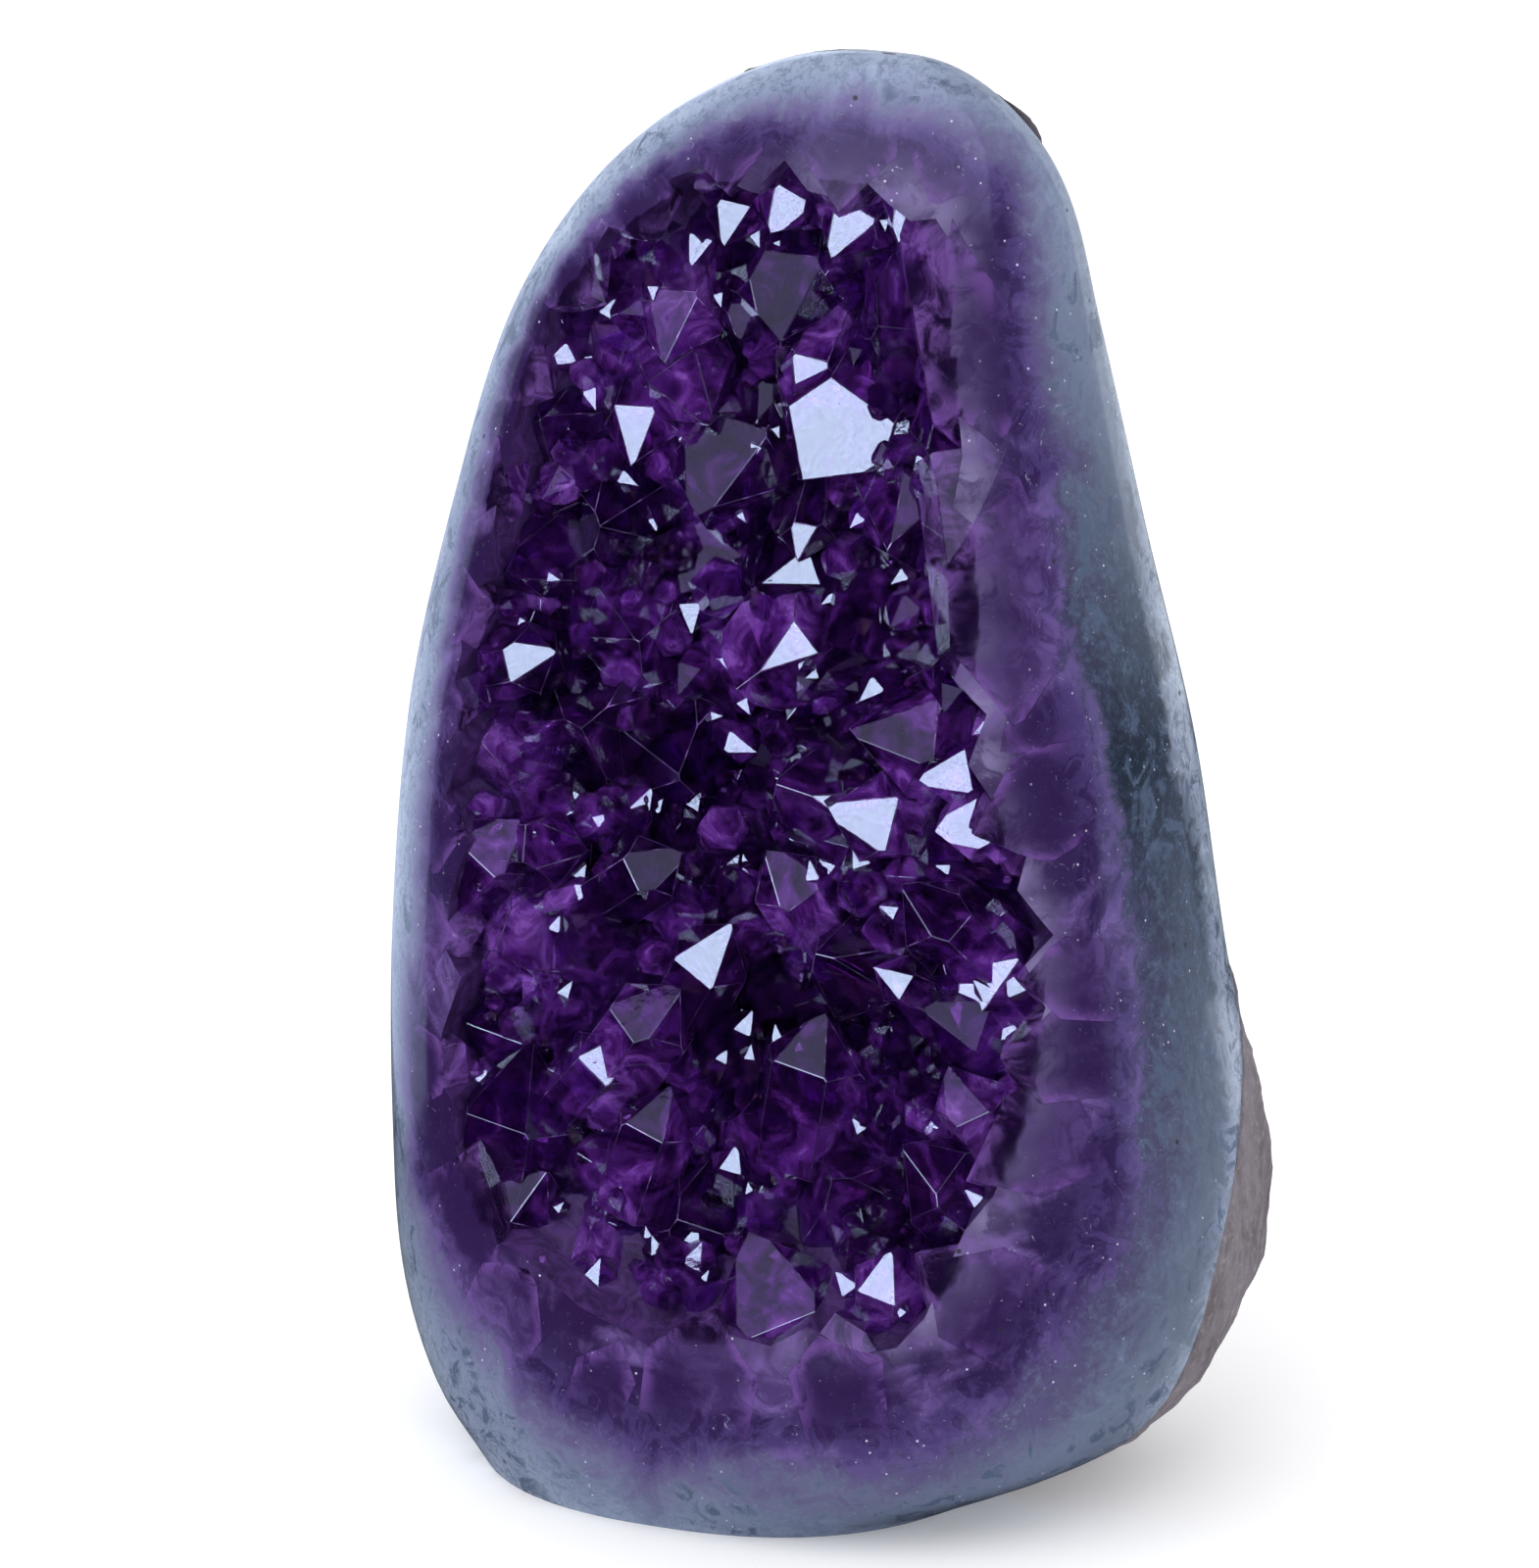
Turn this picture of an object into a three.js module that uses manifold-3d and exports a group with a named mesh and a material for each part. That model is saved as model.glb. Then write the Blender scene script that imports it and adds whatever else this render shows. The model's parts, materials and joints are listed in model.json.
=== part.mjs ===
// An amethyst geode with a cut base: a polished wall of agate and quartz, the rough rock crust that it grew
// against, and the amethyst crystals that line its cavity. Millimetres, +Z up, the cavity faces -Y, and the
// middle of the cut base is near the origin.
import * as THREE from "three";
import { ConvexGeometry } from "three/addons/geometries/ConvexGeometry.js";
import { mergeVertices } from "three/addons/utils/BufferGeometryUtils.js";
import Module from "manifold-3d";

const wasm = await Module();
wasm.setup();

// ---- driving dimensions ----

const HEIGHT = 105;
const MOUTH_SPOKES = 40; // points around the mouth of the cavity
const GAP = 0.3; // clearance between pieces that grew against each other

// How the outside swells from the base to the top. Each station holds its share of the height, then how far
// the body reaches to the left, the right, the front and the back of the middle line.
const STATIONS = [
  [0.0, -24, 16, -19, 14.5],
  [0.05, -28, 26.5, -21.5, 17],
  [0.12, -31, 31, -22, 20],
  [0.22, -32, 32, -22, 21.5],
  [0.36, -32, 29, -20.5, 20],
  [0.52, -31, 27, -17.5, 17],
  [0.68, -28.5, 24, -14, 14],
  [0.82, -27, 22.5, -10, 12],
  [0.93, -24, 23, -6.5, 11],
  [1.0, -19, 21.5, -4, 10],
];
const APEX = { x: 6.5, y: -1 };
const CROWN = { flatness: 6, roundness: 2.2 }; // how late, and how roundly, the sides close over the top
const FRONT_SQUARENESS = 2.4; // 2 is an ellipse, more is squarer
const BACK_SQUARENESS = 2.6;
const MIDDLE = 0.35; // where the widest line runs, from the back edge (0) to the front edge (1)

// The mouth of the cavity as seen from the front, clockwise from the top.
const MOUTH = [
  [2, 96.5], [11, 95], [13.5, 85], [16, 73], [18, 58], [22, 44], [22, 32], [16, 19],
  [3, 16.5], [-11, 17], [-21, 27], [-20.5, 42], [-21.5, 58], [-21, 72], [-17, 86], [-8, 94.5],
];
const CAVITY = { x: -0.5, z: 56, depth: 14, lip: 1, steepness: 3.2, bowl: 2 };

// Where the polished wall ends and the rough crust starts: at a share of the way to the back edge, and further
// forward low on the right side. The drop starts at top and is whole at bottom.
const SEAM = { share: 0.72, drop: 16.4, top: 44, bottom: 16, leftShare: 0.35 };
const CRUST_BUMP = 0.7;

// Quartz: the outward directions of the six end faces lie this far from the crystal's axis.
const END_FACE = THREE.MathUtils.degToRad(51.8);
const TIP_DEPTH = 7; // how far below the polished face the crystals' tips stand, away from the mouth
const TIP_SLOPE = 7; // the distance from the mouth in which the tips get most of the way down
const STEM = 4; // what a crystal's length adds to 1.2 times its width

// Crystals with one large end face turned to the front: the middle of that face, the crystal's width, and
// the angle in degrees by which the face looks upwards.
const FACING_CRYSTALS = [
  [4, 78.5, 9, 12], [1.5, 82, 4.5, 11], [-0.5, 87.5, 7.5, 25], [-7, 80, 6, 17], [-11, 77, 5, 12],
  [4, 92.5, 5, 13], [9, 94, 4.5, 11], [-0.5, 93.5, 4, 12], [-4.5, 92.5, 4, 15], [-9, 84.5, 6, 26],
  [-17, 61, 4.5, 14], [2.5, 71, 3.5, 13], [10.5, 59, 7.5, 27], [9, 52.5, 6.5, 12], [15, 56.5, 4.5, 14],
  [16.5, 53, 5, 12], [14, 47, 6, 37], [11.5, 41.5, 3.8, 12], [6, 36, 6.5, 33], [16, 39, 5, 25],
  [-18.5, 48, 5.5, 25], [-14, 48, 5, 20], [-6.5, 47.5, 4.8, 25], [3, 48, 4.8, 24], [-2, 42, 5.2, 16],
  [-6, 37.5, 6, 36], [-9.5, 33.5, 5, 18], [-5.5, 30, 5, 35], [-16.5, 30, 8.5, 36], [-15, 23.5, 5, 25],
  [4.5, 20, 9, 33], [13, 21, 5, 12], [15.5, 29, 6, 37], [17, 34, 5, 25],
];
const FACING = { turn: 12, turnSpread: 14, liftSpread: 2 }; // degrees
const FILLING_CRYSTALS = 23;
const WIDEST = 8; // the most that a filling crystal is given

// ---- the body's outside ----

function smoothstep(low, high, value) {
  return THREE.MathUtils.smoothstep(value, low, high);
}

/** One column of STATIONS at a share of the height, on a smooth curve through the stations. */
function reach(column, share) {
  const last = STATIONS.length - 1;
  const slope = (i) => {
    const below = STATIONS[Math.max(i - 1, 0)];
    const above = STATIONS[Math.min(i + 1, last)];
    return (above[column] - below[column]) / (above[0] - below[0]);
  };
  let i = 0;
  while (i < last - 1 && STATIONS[i + 1][0] < share) i += 1;
  const span = STATIONS[i + 1][0] - STATIONS[i][0];
  const t = (share - STATIONS[i][0]) / span;
  const start = STATIONS[i][column] * (2 * t ** 3 - 3 * t ** 2 + 1);
  const end = STATIONS[i + 1][column] * (3 * t ** 2 - 2 * t ** 3);
  const bend = slope(i) * (t ** 3 - 2 * t ** 2 + t) + slope(i + 1) * (t ** 3 - t ** 2);
  return start + end + bend * span;
}

/** The level section of the body at a share of its height. */
function section(share) {
  const close = (1 - share ** CROWN.flatness) ** (1 / CROWN.roundness);
  const edge = (column, apex) => apex + (reach(column, share) - apex) * close;
  const left = edge(1, APEX.x);
  const right = edge(2, APEX.x);
  const front = edge(3, APEX.y);
  const back = edge(4, APEX.y);
  return {
    x: (left + right) / 2,
    y: MIDDLE * front + (1 - MIDDLE) * back,
    half: (right - left) / 2,
    front,
    back,
  };
}

/** A point on the outside, at a share of the height and an angle from the front. */
function outside(share, angle) {
  const cut = section(share);
  const facingFront = Math.cos(angle) > 0;
  const power = 2 / (facingFront ? FRONT_SQUARENESS : BACK_SQUARENESS);
  const across = Math.sign(Math.sin(angle)) * Math.abs(Math.sin(angle)) ** power;
  const along = Math.abs(Math.cos(angle)) ** power;
  const edge = facingFront ? cut.front : cut.back;
  return new THREE.Vector3(cut.x + cut.half * across, cut.y + (edge - cut.y) * along, share * HEIGHT);
}

/** How far forward the polished face lies at a place seen from the front. */
function faceY(x, z) {
  const cut = section(THREE.MathUtils.clamp(z / HEIGHT, 0, 1));
  const across = Math.min(Math.abs((x - cut.x) / cut.half), 1);
  return cut.y + (cut.front - cut.y) * (1 - across ** FRONT_SQUARENESS) ** (1 / FRONT_SQUARENESS);
}

/** The outward direction of the polished face at a place seen from the front. */
function faceOut(x, z) {
  const step = 1;
  const slopeX = (faceY(x + step, z) - faceY(x - step, z)) / (2 * step);
  const slopeZ = (faceY(x, z + step) - faceY(x, z - step)) / (2 * step);
  return new THREE.Vector3(slopeX, -1, slopeZ).normalize();
}

/** A shallow unevenness between -1 and 1, the same wherever it is asked for. */
function lumps(point) {
  const { x, y, z } = point;
  const slow = Math.sin(0.31 * x + 1.3 * Math.sin(0.23 * z)) * Math.cos(0.37 * y + 0.29 * z);
  const quick = Math.sin(0.83 * x - 0.71 * z + 0.5) * Math.sin(0.77 * y + 0.64 * z);
  return 0.6 * slow + 0.4 * quick;
}

// ---- closed geometries ----

/** A closed geometry from rings of points of equal count, from the first point to the last one. */
function lathedRings(first, rings, last) {
  const points = [first, ...rings.flat(), last];
  const count = rings[0].length;
  const faces = [];
  const at = (ring, k) => 1 + ring * count + (k % count);
  for (let k = 0; k < count; k += 1) {
    faces.push(0, at(0, k + 1), at(0, k));
    faces.push(points.length - 1, at(rings.length - 1, k), at(rings.length - 1, k + 1));
    for (let ring = 0; ring < rings.length - 1; ring += 1) {
      faces.push(at(ring, k), at(ring, k + 1), at(ring + 1, k + 1));
      faces.push(at(ring, k), at(ring + 1, k + 1), at(ring + 1, k));
    }
  }
  const geometry = new THREE.BufferGeometry().setFromPoints(points);
  geometry.setIndex(faces);
  return geometry;
}

/** The whole body, from its cut base to its top; bump is how far its surface is pushed in and out. */
function bodyGeometry(bump) {
  const levels = 30;
  const spokes = 48;
  const rings = [];
  for (let level = 0; level < levels; level += 1) {
    const share = Math.sin((level / levels) * (Math.PI / 2));
    const middle = new THREE.Vector3(0, 0, share * HEIGHT);
    rings.push([...Array(spokes).keys()].map((k) => {
      const point = outside(share, (k / spokes) * 2 * Math.PI);
      const outward = point.clone().sub(middle).normalize();
      return point.addScaledVector(outward, bump * lumps(point));
    }));
  }
  const foot = new THREE.Vector3(0, 0, 0);
  return lathedRings(foot, rings, new THREE.Vector3(APEX.x, APEX.y, HEIGHT));
}

/** A plug with a flat lid far in front of the body and a shaped end behind it. */
function plugGeometry(outline, middle, endY, rings) {
  const lidY = -60;
  const levels = [outline.map(([x, z]) => new THREE.Vector3(x, lidY, z))];
  for (let ring = rings; ring > 0; ring -= 1) {
    const share = ring / rings;
    levels.push(outline.map(([x, z]) => {
      const px = middle.x + (x - middle.x) * share;
      const pz = middle.z + (z - middle.z) * share;
      return new THREE.Vector3(px, endY(px, pz, share), pz);
    }));
  }
  const lid = new THREE.Vector3(middle.x, lidY, middle.z);
  const end = new THREE.Vector3(middle.x, endY(middle.x, middle.z, 0), middle.z);
  return lathedRings(lid, levels, end);
}

/** The mouth of the cavity as points on a smooth closed curve, shrunk towards its middle by an inset. */
function mouthOutline(inset) {
  const corners = MOUTH.map(([x, z]) => new THREE.Vector3(x, 0, z));
  const curve = new THREE.CatmullRomCurve3(corners, true, "catmullrom", 0.5);
  const middle = new THREE.Vector3(CAVITY.x, 0, CAVITY.z);
  return curve.getPoints(MOUTH_SPOKES).slice(0, MOUTH_SPOKES).map((point) => {
    const inward = middle.clone().sub(point).setLength(inset);
    return [point.x + inward.x, point.z + inward.z];
  });
}

/** How deep the cavity is at a share of the way from its middle to its mouth. */
function cavityDepth(share) {
  const bowl = (1 - share ** CAVITY.steepness) ** (1 / CAVITY.bowl);
  return (CAVITY.depth + CAVITY.lip) * bowl - CAVITY.lip;
}

// ---- manifold-3d ----

function toSolid(geometry) {
  const bare = geometry.clone();
  bare.deleteAttribute("normal");
  bare.deleteAttribute("uv");
  const merged = mergeVertices(bare, 1e-4);
  return new wasm.Manifold(new wasm.Mesh({
    numProp: 3,
    vertProperties: new Float32Array(merged.attributes.position.array),
    triVerts: new Uint32Array(merged.index.array),
  }));
}

function toGeometry(solid) {
  const mesh = solid.getMesh();
  const geometry = new THREE.BufferGeometry();
  geometry.setAttribute("position", new THREE.BufferAttribute(mesh.vertProperties, 3));
  geometry.setIndex(new THREE.BufferAttribute(mesh.triVerts, 1));
  geometry.computeVertexNormals();
  return geometry;
}

function largestPiece(solid) {
  const pieces = solid.decompose();
  return pieces.reduce((best, piece) => (piece.volume() > best.volume() ? piece : best));
}

// ---- the wall and the crust ----

/** The space in front of the seam, moved back by an offset. */
function aheadOfSeam(offset) {
  const round = [...Array(48).keys()].map((k) => {
    const angle = (-k / 48) * 2 * Math.PI;
    return [90 * Math.cos(angle), HEIGHT / 2 + 90 * Math.sin(angle)];
  });
  const seamY = (x, z) => {
    const high = SEAM.share * section(THREE.MathUtils.clamp(z / HEIGHT, 0, 1)).back;
    const low = smoothstep(-SEAM.top, -SEAM.bottom, -z);
    const side = SEAM.leftShare + (1 - SEAM.leftShare) * smoothstep(-10, 26, x);
    return high - SEAM.drop * low * side + offset;
  };
  return toSolid(plugGeometry(round, { x: 0, z: HEIGHT / 2 }, seamY, 22));
}

/** The hollow of the cavity, with its walls moved inwards by an inset. */
function hollow(inset) {
  const endY = (x, z, share) => faceY(x, z) + cavityDepth(share) - inset;
  return toSolid(plugGeometry(mouthOutline(inset), CAVITY, endY, 6));
}

const body = toSolid(bodyGeometry(0));
const wall = body.intersect(aheadOfSeam(0)).subtract(hollow(0));
const crust = toSolid(bodyGeometry(CRUST_BUMP)).subtract(aheadOfSeam(GAP));

// ---- the crystals ----

/** A repeatable number from 0 to 1 for a whole number. */
function chance(n) {
  const spread = Math.sin(n * 12.9898 + 4.1414) * 43758.5453;
  return spread - Math.floor(spread);
}

/** The corners of the convex solid behind a set of planes, each { out, far } from the tip. */
function corners(planes, tip) {
  const found = [];
  const crossing = new THREE.Matrix3();
  planes.forEach((a, i) => planes.slice(i + 1).forEach((b, j) => planes.slice(i + j + 2).forEach((c) => {
    crossing.set(...a.out.toArray(), ...b.out.toArray(), ...c.out.toArray());
    if (Math.abs(crossing.determinant()) < 1e-3) return;
    const point = new THREE.Vector3(a.far, b.far, c.far).applyMatrix3(crossing.invert());
    const inside = planes.every(({ out, far }) => out.dot(point) < far + 1e-6);
    const known = found.some((other) => other.distanceTo(point) < 1e-3);
    if (inside && !known) found.push(point);
  })));
  return found.map((point) => point.add(tip));
}

/** A quartz crystal: six sides, three large end faces and three small ones; swell grows it on all sides. */
function crystalSolid(crystal, swell) {
  const { tip, axis, side, width, seed } = crystal;
  const other = axis.clone().cross(side);
  const around = (k) => {
    const angle = (k * Math.PI) / 3;
    return side.clone().multiplyScalar(Math.cos(angle)).addScaledVector(other, Math.sin(angle));
  };
  const planes = [{ out: axis.clone().negate(), far: 1.2 * width + STEM + swell }];
  for (let k = 0; k < 6; k += 1) {
    const small = k % 2;
    const endOut = axis.clone().multiplyScalar(Math.cos(END_FACE)).addScaledVector(around(k), Math.sin(END_FACE));
    const endFar = width * (small ? 0.01 + 0.02 * width * chance(seed + k) : 0.05 * chance(seed + k));
    planes.push({ out: endOut, far: endFar + swell });
    planes.push({ out: around(k), far: width * (0.44 + 0.12 * chance(seed + 10 + k)) + swell });
  }
  return toSolid(new ConvexGeometry(corners(planes, tip)));
}

const MOUTH_POINTS = mouthOutline(0);

/** How far a place seen from the front is from the edge of the mouth. */
function toMouth(x, z) {
  return Math.min(...MOUTH_POINTS.map(([px, pz]) => Math.hypot(px - x, pz - z)));
}

/** Whether a place seen from the front lies inside the mouth. */
function insideMouth(x, z) {
  let inside = false;
  MOUTH_POINTS.forEach(([ax, az], i) => {
    const [bx, bz] = MOUTH_POINTS[(i + 1) % MOUTH_POINTS.length];
    if (az > z !== bz > z && x < ax + ((z - az) / (bz - az)) * (bx - ax)) inside = !inside;
  });
  return inside;
}

/** A point at the level of the crystals' tips, which is deeper away from the mouth. */
function tipLevel(x, z) {
  return new THREE.Vector3(x, faceY(x, z) + TIP_DEPTH * (1 - Math.exp(-toMouth(x, z) / TIP_SLOPE)), z);
}

/** The angle from straight up to the way towards the middle of the cavity, seen from the front, and turned. */
function inwards(x, z, turned) {
  return Math.atan2(CAVITY.x - x, CAVITY.z - z) + turned;
}

/** A crystal whose first large end face looks to the front, with its tip on the side of the cavity's middle. */
function facingCrystal([x, z, width, upwards], seed) {
  const turn = THREE.MathUtils.degToRad(FACING.turn + FACING.turnSpread * (2 * chance(seed + 1) - 1));
  const lift = THREE.MathUtils.degToRad(upwards + FACING.liftSpread * (2 * chance(seed + 2) - 1));
  const right = new THREE.Vector3(Math.cos(turn), Math.sin(turn), 0);
  const faceDirection = new THREE.Vector3(
    Math.sin(turn) * Math.cos(lift),
    -Math.cos(turn) * Math.cos(lift),
    Math.sin(lift),
  );
  const up = faceDirection.clone().cross(right);
  const lean = inwards(x, z, 1.2 * chance(seed + 3) - 0.6);
  const toTip = right.multiplyScalar(Math.sin(lean)).addScaledVector(up, Math.cos(lean));
  const axis = faceDirection.clone().multiplyScalar(Math.cos(END_FACE));
  axis.addScaledVector(toTip, Math.sin(END_FACE));
  const side = faceDirection.clone().addScaledVector(axis, -faceDirection.dot(axis)).normalize();
  return { tip: tipLevel(x, z).addScaledVector(toTip, 0.4 * width), axis, side, width, seed };
}

/** A crystal that points out of the cavity, towards its middle, at a place seen from the front. */
function fillingCrystal([x, z, width], seed) {
  const lean = inwards(x, z, 2 * chance(seed + 1) - 1);
  const amount = 0.25 + 0.45 * chance(seed + 2);
  const axis = faceOut(x, z);
  axis.add(new THREE.Vector3(Math.sin(lean), 0, Math.cos(lean)).multiplyScalar(amount)).normalize();
  const side = new THREE.Vector3(0, 0, 1).cross(axis).normalize();
  side.applyAxisAngle(axis, 2 * chance(seed + 3));
  return { tip: tipLevel(x, z), axis, side, width, seed };
}

/** Where the widest gap is left between the crystals and the mouth, and how wide a crystal fits it. */
function widestGap(taken) {
  let best = [0, 0, 0];
  for (let x = -21; x <= 21; x += 0.75) {
    for (let z = 18; z <= 96; z += 0.75) {
      if (!insideMouth(x, z)) continue;
      const room = Math.min(...taken.map(([px, pz, width]) => Math.hypot(px - x, pz - z) - 0.42 * width));
      const width = 2 * Math.min(room, 1.3 * toMouth(x, z), WIDEST / 2);
      if (width > best[2]) best = [x, z, width];
    }
  }
  return best;
}

const places = [...FACING_CRYSTALS];
while (places.length < FACING_CRYSTALS.length + FILLING_CRYSTALS) {
  const [x, z, width] = widestGap(places);
  places.push([x, z, width + 0.5]);
}
const crystals = places.map((place, i) => {
  const seed = 20 * i;
  return i < FACING_CRYSTALS.length ? facingCrystal(place, seed) : fillingCrystal(place, seed);
});

/** One crystal as it grew: kept inside the cavity, and stopped by the crystals that were there first. */
function grownCrystal(crystal, i) {
  let solid = crystalSolid(crystal, 0).intersect(body).intersect(hollow(GAP));
  crystals.slice(0, i).forEach((earlier) => {
    const near = earlier.tip.distanceTo(crystal.tip) < 2.2 * (earlier.width + crystal.width);
    if (near) solid = solid.subtract(crystalSolid(earlier, GAP));
  });
  return largestPiece(solid);
}

// ---- the assembly ----

const geode = new THREE.Group();

function addPiece(name, solid, finish) {
  const piece = new THREE.Mesh(toGeometry(solid), new THREE.MeshStandardMaterial(finish));
  piece.name = name;
  geode.add(piece);
}

addPiece("geode_wall", wall, { color: 0x8a86a8, roughness: 0.12, metalness: 0 });
addPiece("rock_crust", crust, { color: 0x7d7368, roughness: 0.9, metalness: 0 });
crystals.forEach((crystal, i) => {
  const name = `crystal_${String(i + 1).padStart(2, "0")}`;
  const shade = new THREE.Color(0x4a1f78).lerp(new THREE.Color(0x7a45a8), chance(crystal.seed + 19));
  addPiece(name, grownCrystal(crystal, i), { color: shade, roughness: 0.08, metalness: 0 });
});

export default geode;
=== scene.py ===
# %% [markdown]
# # An amethyst geode, cut flat at its base
#
# The real stone is a wall of agate and cloudy quartz that grew in a hollow of rock. Its front has been
# ground and polished round the cavity, and the cavity is lined with amethyst crystals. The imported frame
# gives every piece its place; this lesson grows the finer stone around it. All lengths below are in
# millimetres until a mesh is made, because that is how such a stone is measured.

import json
import math

import bmesh
import bpy
import numpy as np
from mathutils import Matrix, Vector, noise


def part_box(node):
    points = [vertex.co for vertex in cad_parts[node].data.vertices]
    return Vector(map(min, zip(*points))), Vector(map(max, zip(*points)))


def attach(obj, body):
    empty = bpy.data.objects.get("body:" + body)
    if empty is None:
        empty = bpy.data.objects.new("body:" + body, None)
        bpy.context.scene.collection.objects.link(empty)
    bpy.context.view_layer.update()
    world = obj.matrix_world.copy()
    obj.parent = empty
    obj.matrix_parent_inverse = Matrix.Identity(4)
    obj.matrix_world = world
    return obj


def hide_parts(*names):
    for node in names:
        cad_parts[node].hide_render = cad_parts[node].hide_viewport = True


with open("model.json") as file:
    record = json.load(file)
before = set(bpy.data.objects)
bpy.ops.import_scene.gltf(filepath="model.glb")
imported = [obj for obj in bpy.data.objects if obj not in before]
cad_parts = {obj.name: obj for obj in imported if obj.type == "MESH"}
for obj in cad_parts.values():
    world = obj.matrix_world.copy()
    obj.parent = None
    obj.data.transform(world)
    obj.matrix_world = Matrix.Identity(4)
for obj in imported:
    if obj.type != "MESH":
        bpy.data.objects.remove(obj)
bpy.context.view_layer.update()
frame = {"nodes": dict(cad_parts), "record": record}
MM = 0.001
HEIGHT = frame["record"]["size"]["bbox_m"][2] / MM
print("frame:", len(frame["nodes"]), "nodes,", HEIGHT, "mm tall")

# %% [markdown]
# ## Camera
#
# A long lens from seven tenths of a metre keeps the stone's sides straight. The camera stands a little to
# the right of the cavity and looks slightly down. It aims just beside the stone's middle.

# %% Camera
VIEW_TURN = math.radians(22)
VIEW_LIFT = math.radians(18)
VIEW_DISTANCE = 700
LENS = 225
AIM_ASIDE = (-2.75, -1.8)  # how far the aim lies right of and above the stone's middle


def direction(turn, lift):
    """The unit direction from the stone towards a place at an angle to the right and an angle up."""
    return Vector((math.sin(turn) * math.cos(lift), -math.cos(turn) * math.cos(lift), math.sin(lift)))


towards_camera = direction(VIEW_TURN, VIEW_LIFT)
camera_right = Vector((math.cos(VIEW_TURN), math.sin(VIEW_TURN), 0))
camera_up = towards_camera.cross(camera_right)
aim = Vector((0, 0, HEIGHT / 2)) + AIM_ASIDE[0] * camera_right + AIM_ASIDE[1] * camera_up

camera = bpy.data.objects.new("camera", bpy.data.cameras.new("camera"))
bpy.context.scene.collection.objects.link(camera)
bpy.context.scene.camera = camera
camera.data.lens = LENS
camera.location = (aim + VIEW_DISTANCE * towards_camera) * MM
camera.rotation_euler = towards_camera.to_track_quat("Z", "Y").to_euler()
print("camera at", [round(v, 3) for v in camera.location])

# %% [markdown]
# ## Studio light
#
# Polished stone shows its lights as mirror images, so each light is a plain panel. Five of them are there
# only to be mirrored. A crystal face that mirrors the bright front panel flashes, one that mirrors the upper
# panel glimmers, and all the others stay dark. The three rim panels draw soft edges on the polish. The light
# that falls on the stone comes from a fill panel and from an even surround, and nothing mirrors those.

# %% Lights and floor
COOL_WHITE = (0.6, 0.71, 1.0)
VIOLET_WHITE = (0.62, 0.6, 1.0)
NEUTRAL_WHITE = (0.86, 0.91, 1.0)
SURROUND_STRENGTH = 1.03
FLOOR_REACH = 4
STONE_MIDDLE = Vector((0, 0, HEIGHT / 2)) * MM
bpy.context.scene.view_settings.view_transform = "Standard"


def panel(name, turn, lift, distance, size, power, mirror_color=None):
    """A flat rectangular light that faces the stone, with its width and height in metres.

    With a mirror colour it is seen only in reflections; without one it is seen only as light on surfaces.
    """
    data = bpy.data.lights.new(name, "AREA")
    data.shape = "RECTANGLE"
    data.size, data.size_y = size
    data.energy = power
    data.color = mirror_color or (1, 1, 1)
    light = bpy.data.objects.new(name, data)
    bpy.context.scene.collection.objects.link(light)
    away = direction(math.radians(turn), math.radians(lift))
    light.location = STONE_MIDDLE + away * distance
    light.rotation_euler = away.to_track_quat("Z", "Y").to_euler()
    light.visible_camera = False
    light.visible_diffuse = not mirror_color
    light.visible_glossy = bool(mirror_color)
    return light


front_panel = panel("front_mirror_panel", -5.5, 6, 0.8, (1.3, 0.34), 26, COOL_WHITE)
panel("upper_mirror_panel", 10, 36, 0.8, (1.0, 0.36), 1.7, VIOLET_WHITE)
panel("left_rim_panel", -125, 8, 0.9, (1.0, 1.0), 2.5, COOL_WHITE)
panel("right_rim_panel", 125, 8, 0.9, (1.0, 1.0), 1.2, COOL_WHITE)
panel("back_rim_panel", 180, 12, 1.1, (1.4, 1.0), 3, NEUTRAL_WHITE)
panel("fill_panel", -20, 50, 0.9, (1.1, 0.9), 3)

world = bpy.data.worlds.new("surround")
bpy.context.scene.world = world
world.use_nodes = True
world.node_tree.nodes["Background"].inputs["Color"].default_value = (1, 1, 1, 1)
world.node_tree.nodes["Background"].inputs["Strength"].default_value = SURROUND_STRENGTH
world.cycles_visibility.glossy = False

floor = bpy.data.objects.new("floor", bpy.data.meshes.new("floor"))
bpy.context.scene.collection.objects.link(floor)
floor_corners = [(x * FLOOR_REACH, y * FLOOR_REACH, 0) for x, y in ((-1, -1), (1, -1), (1, 1), (-1, 1))]
floor.data.from_pydata(floor_corners, [], [(0, 1, 2, 3)])
floor.visible_glossy = False

# %% [markdown]
# ## Shader maths as expressions
#
# A shader graph reads best as the formula it stands for. `Value` wraps one socket, so that `1 - mask * 2`
# adds the Math nodes for it, and `Shader.node` makes any other node in one call.

# %% Shader helpers
class Value:
    """A number that changes over a surface: one output socket, with the arithmetic that is used on it."""

    def __init__(self, shader, socket):
        self.shader = shader
        self.socket = socket

    def _math(self, operation, *terms):
        return self.shader.node("ShaderNodeMath", {"operation": operation}, dict(enumerate(terms)))

    def __add__(self, other):
        return self._math("ADD", self, other)

    def __sub__(self, other):
        return self._math("SUBTRACT", self, other)

    def __rsub__(self, other):
        return self._math("SUBTRACT", other, self)

    def __mul__(self, other):
        return self._math("MULTIPLY", self, other)

    __radd__ = __add__
    __rmul__ = __mul__

    def between(self, low, high, out_low=0, out_high=1):
        """Maps low..high to out_low..out_high with soft ends."""
        settings = {"interpolation_type": "SMOOTHSTEP"}
        values = {"Value": self, "From Min": low, "From Max": high, "To Min": out_low, "To Max": out_high}
        return self.shader.node("ShaderNodeMapRange", settings, values)


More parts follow.
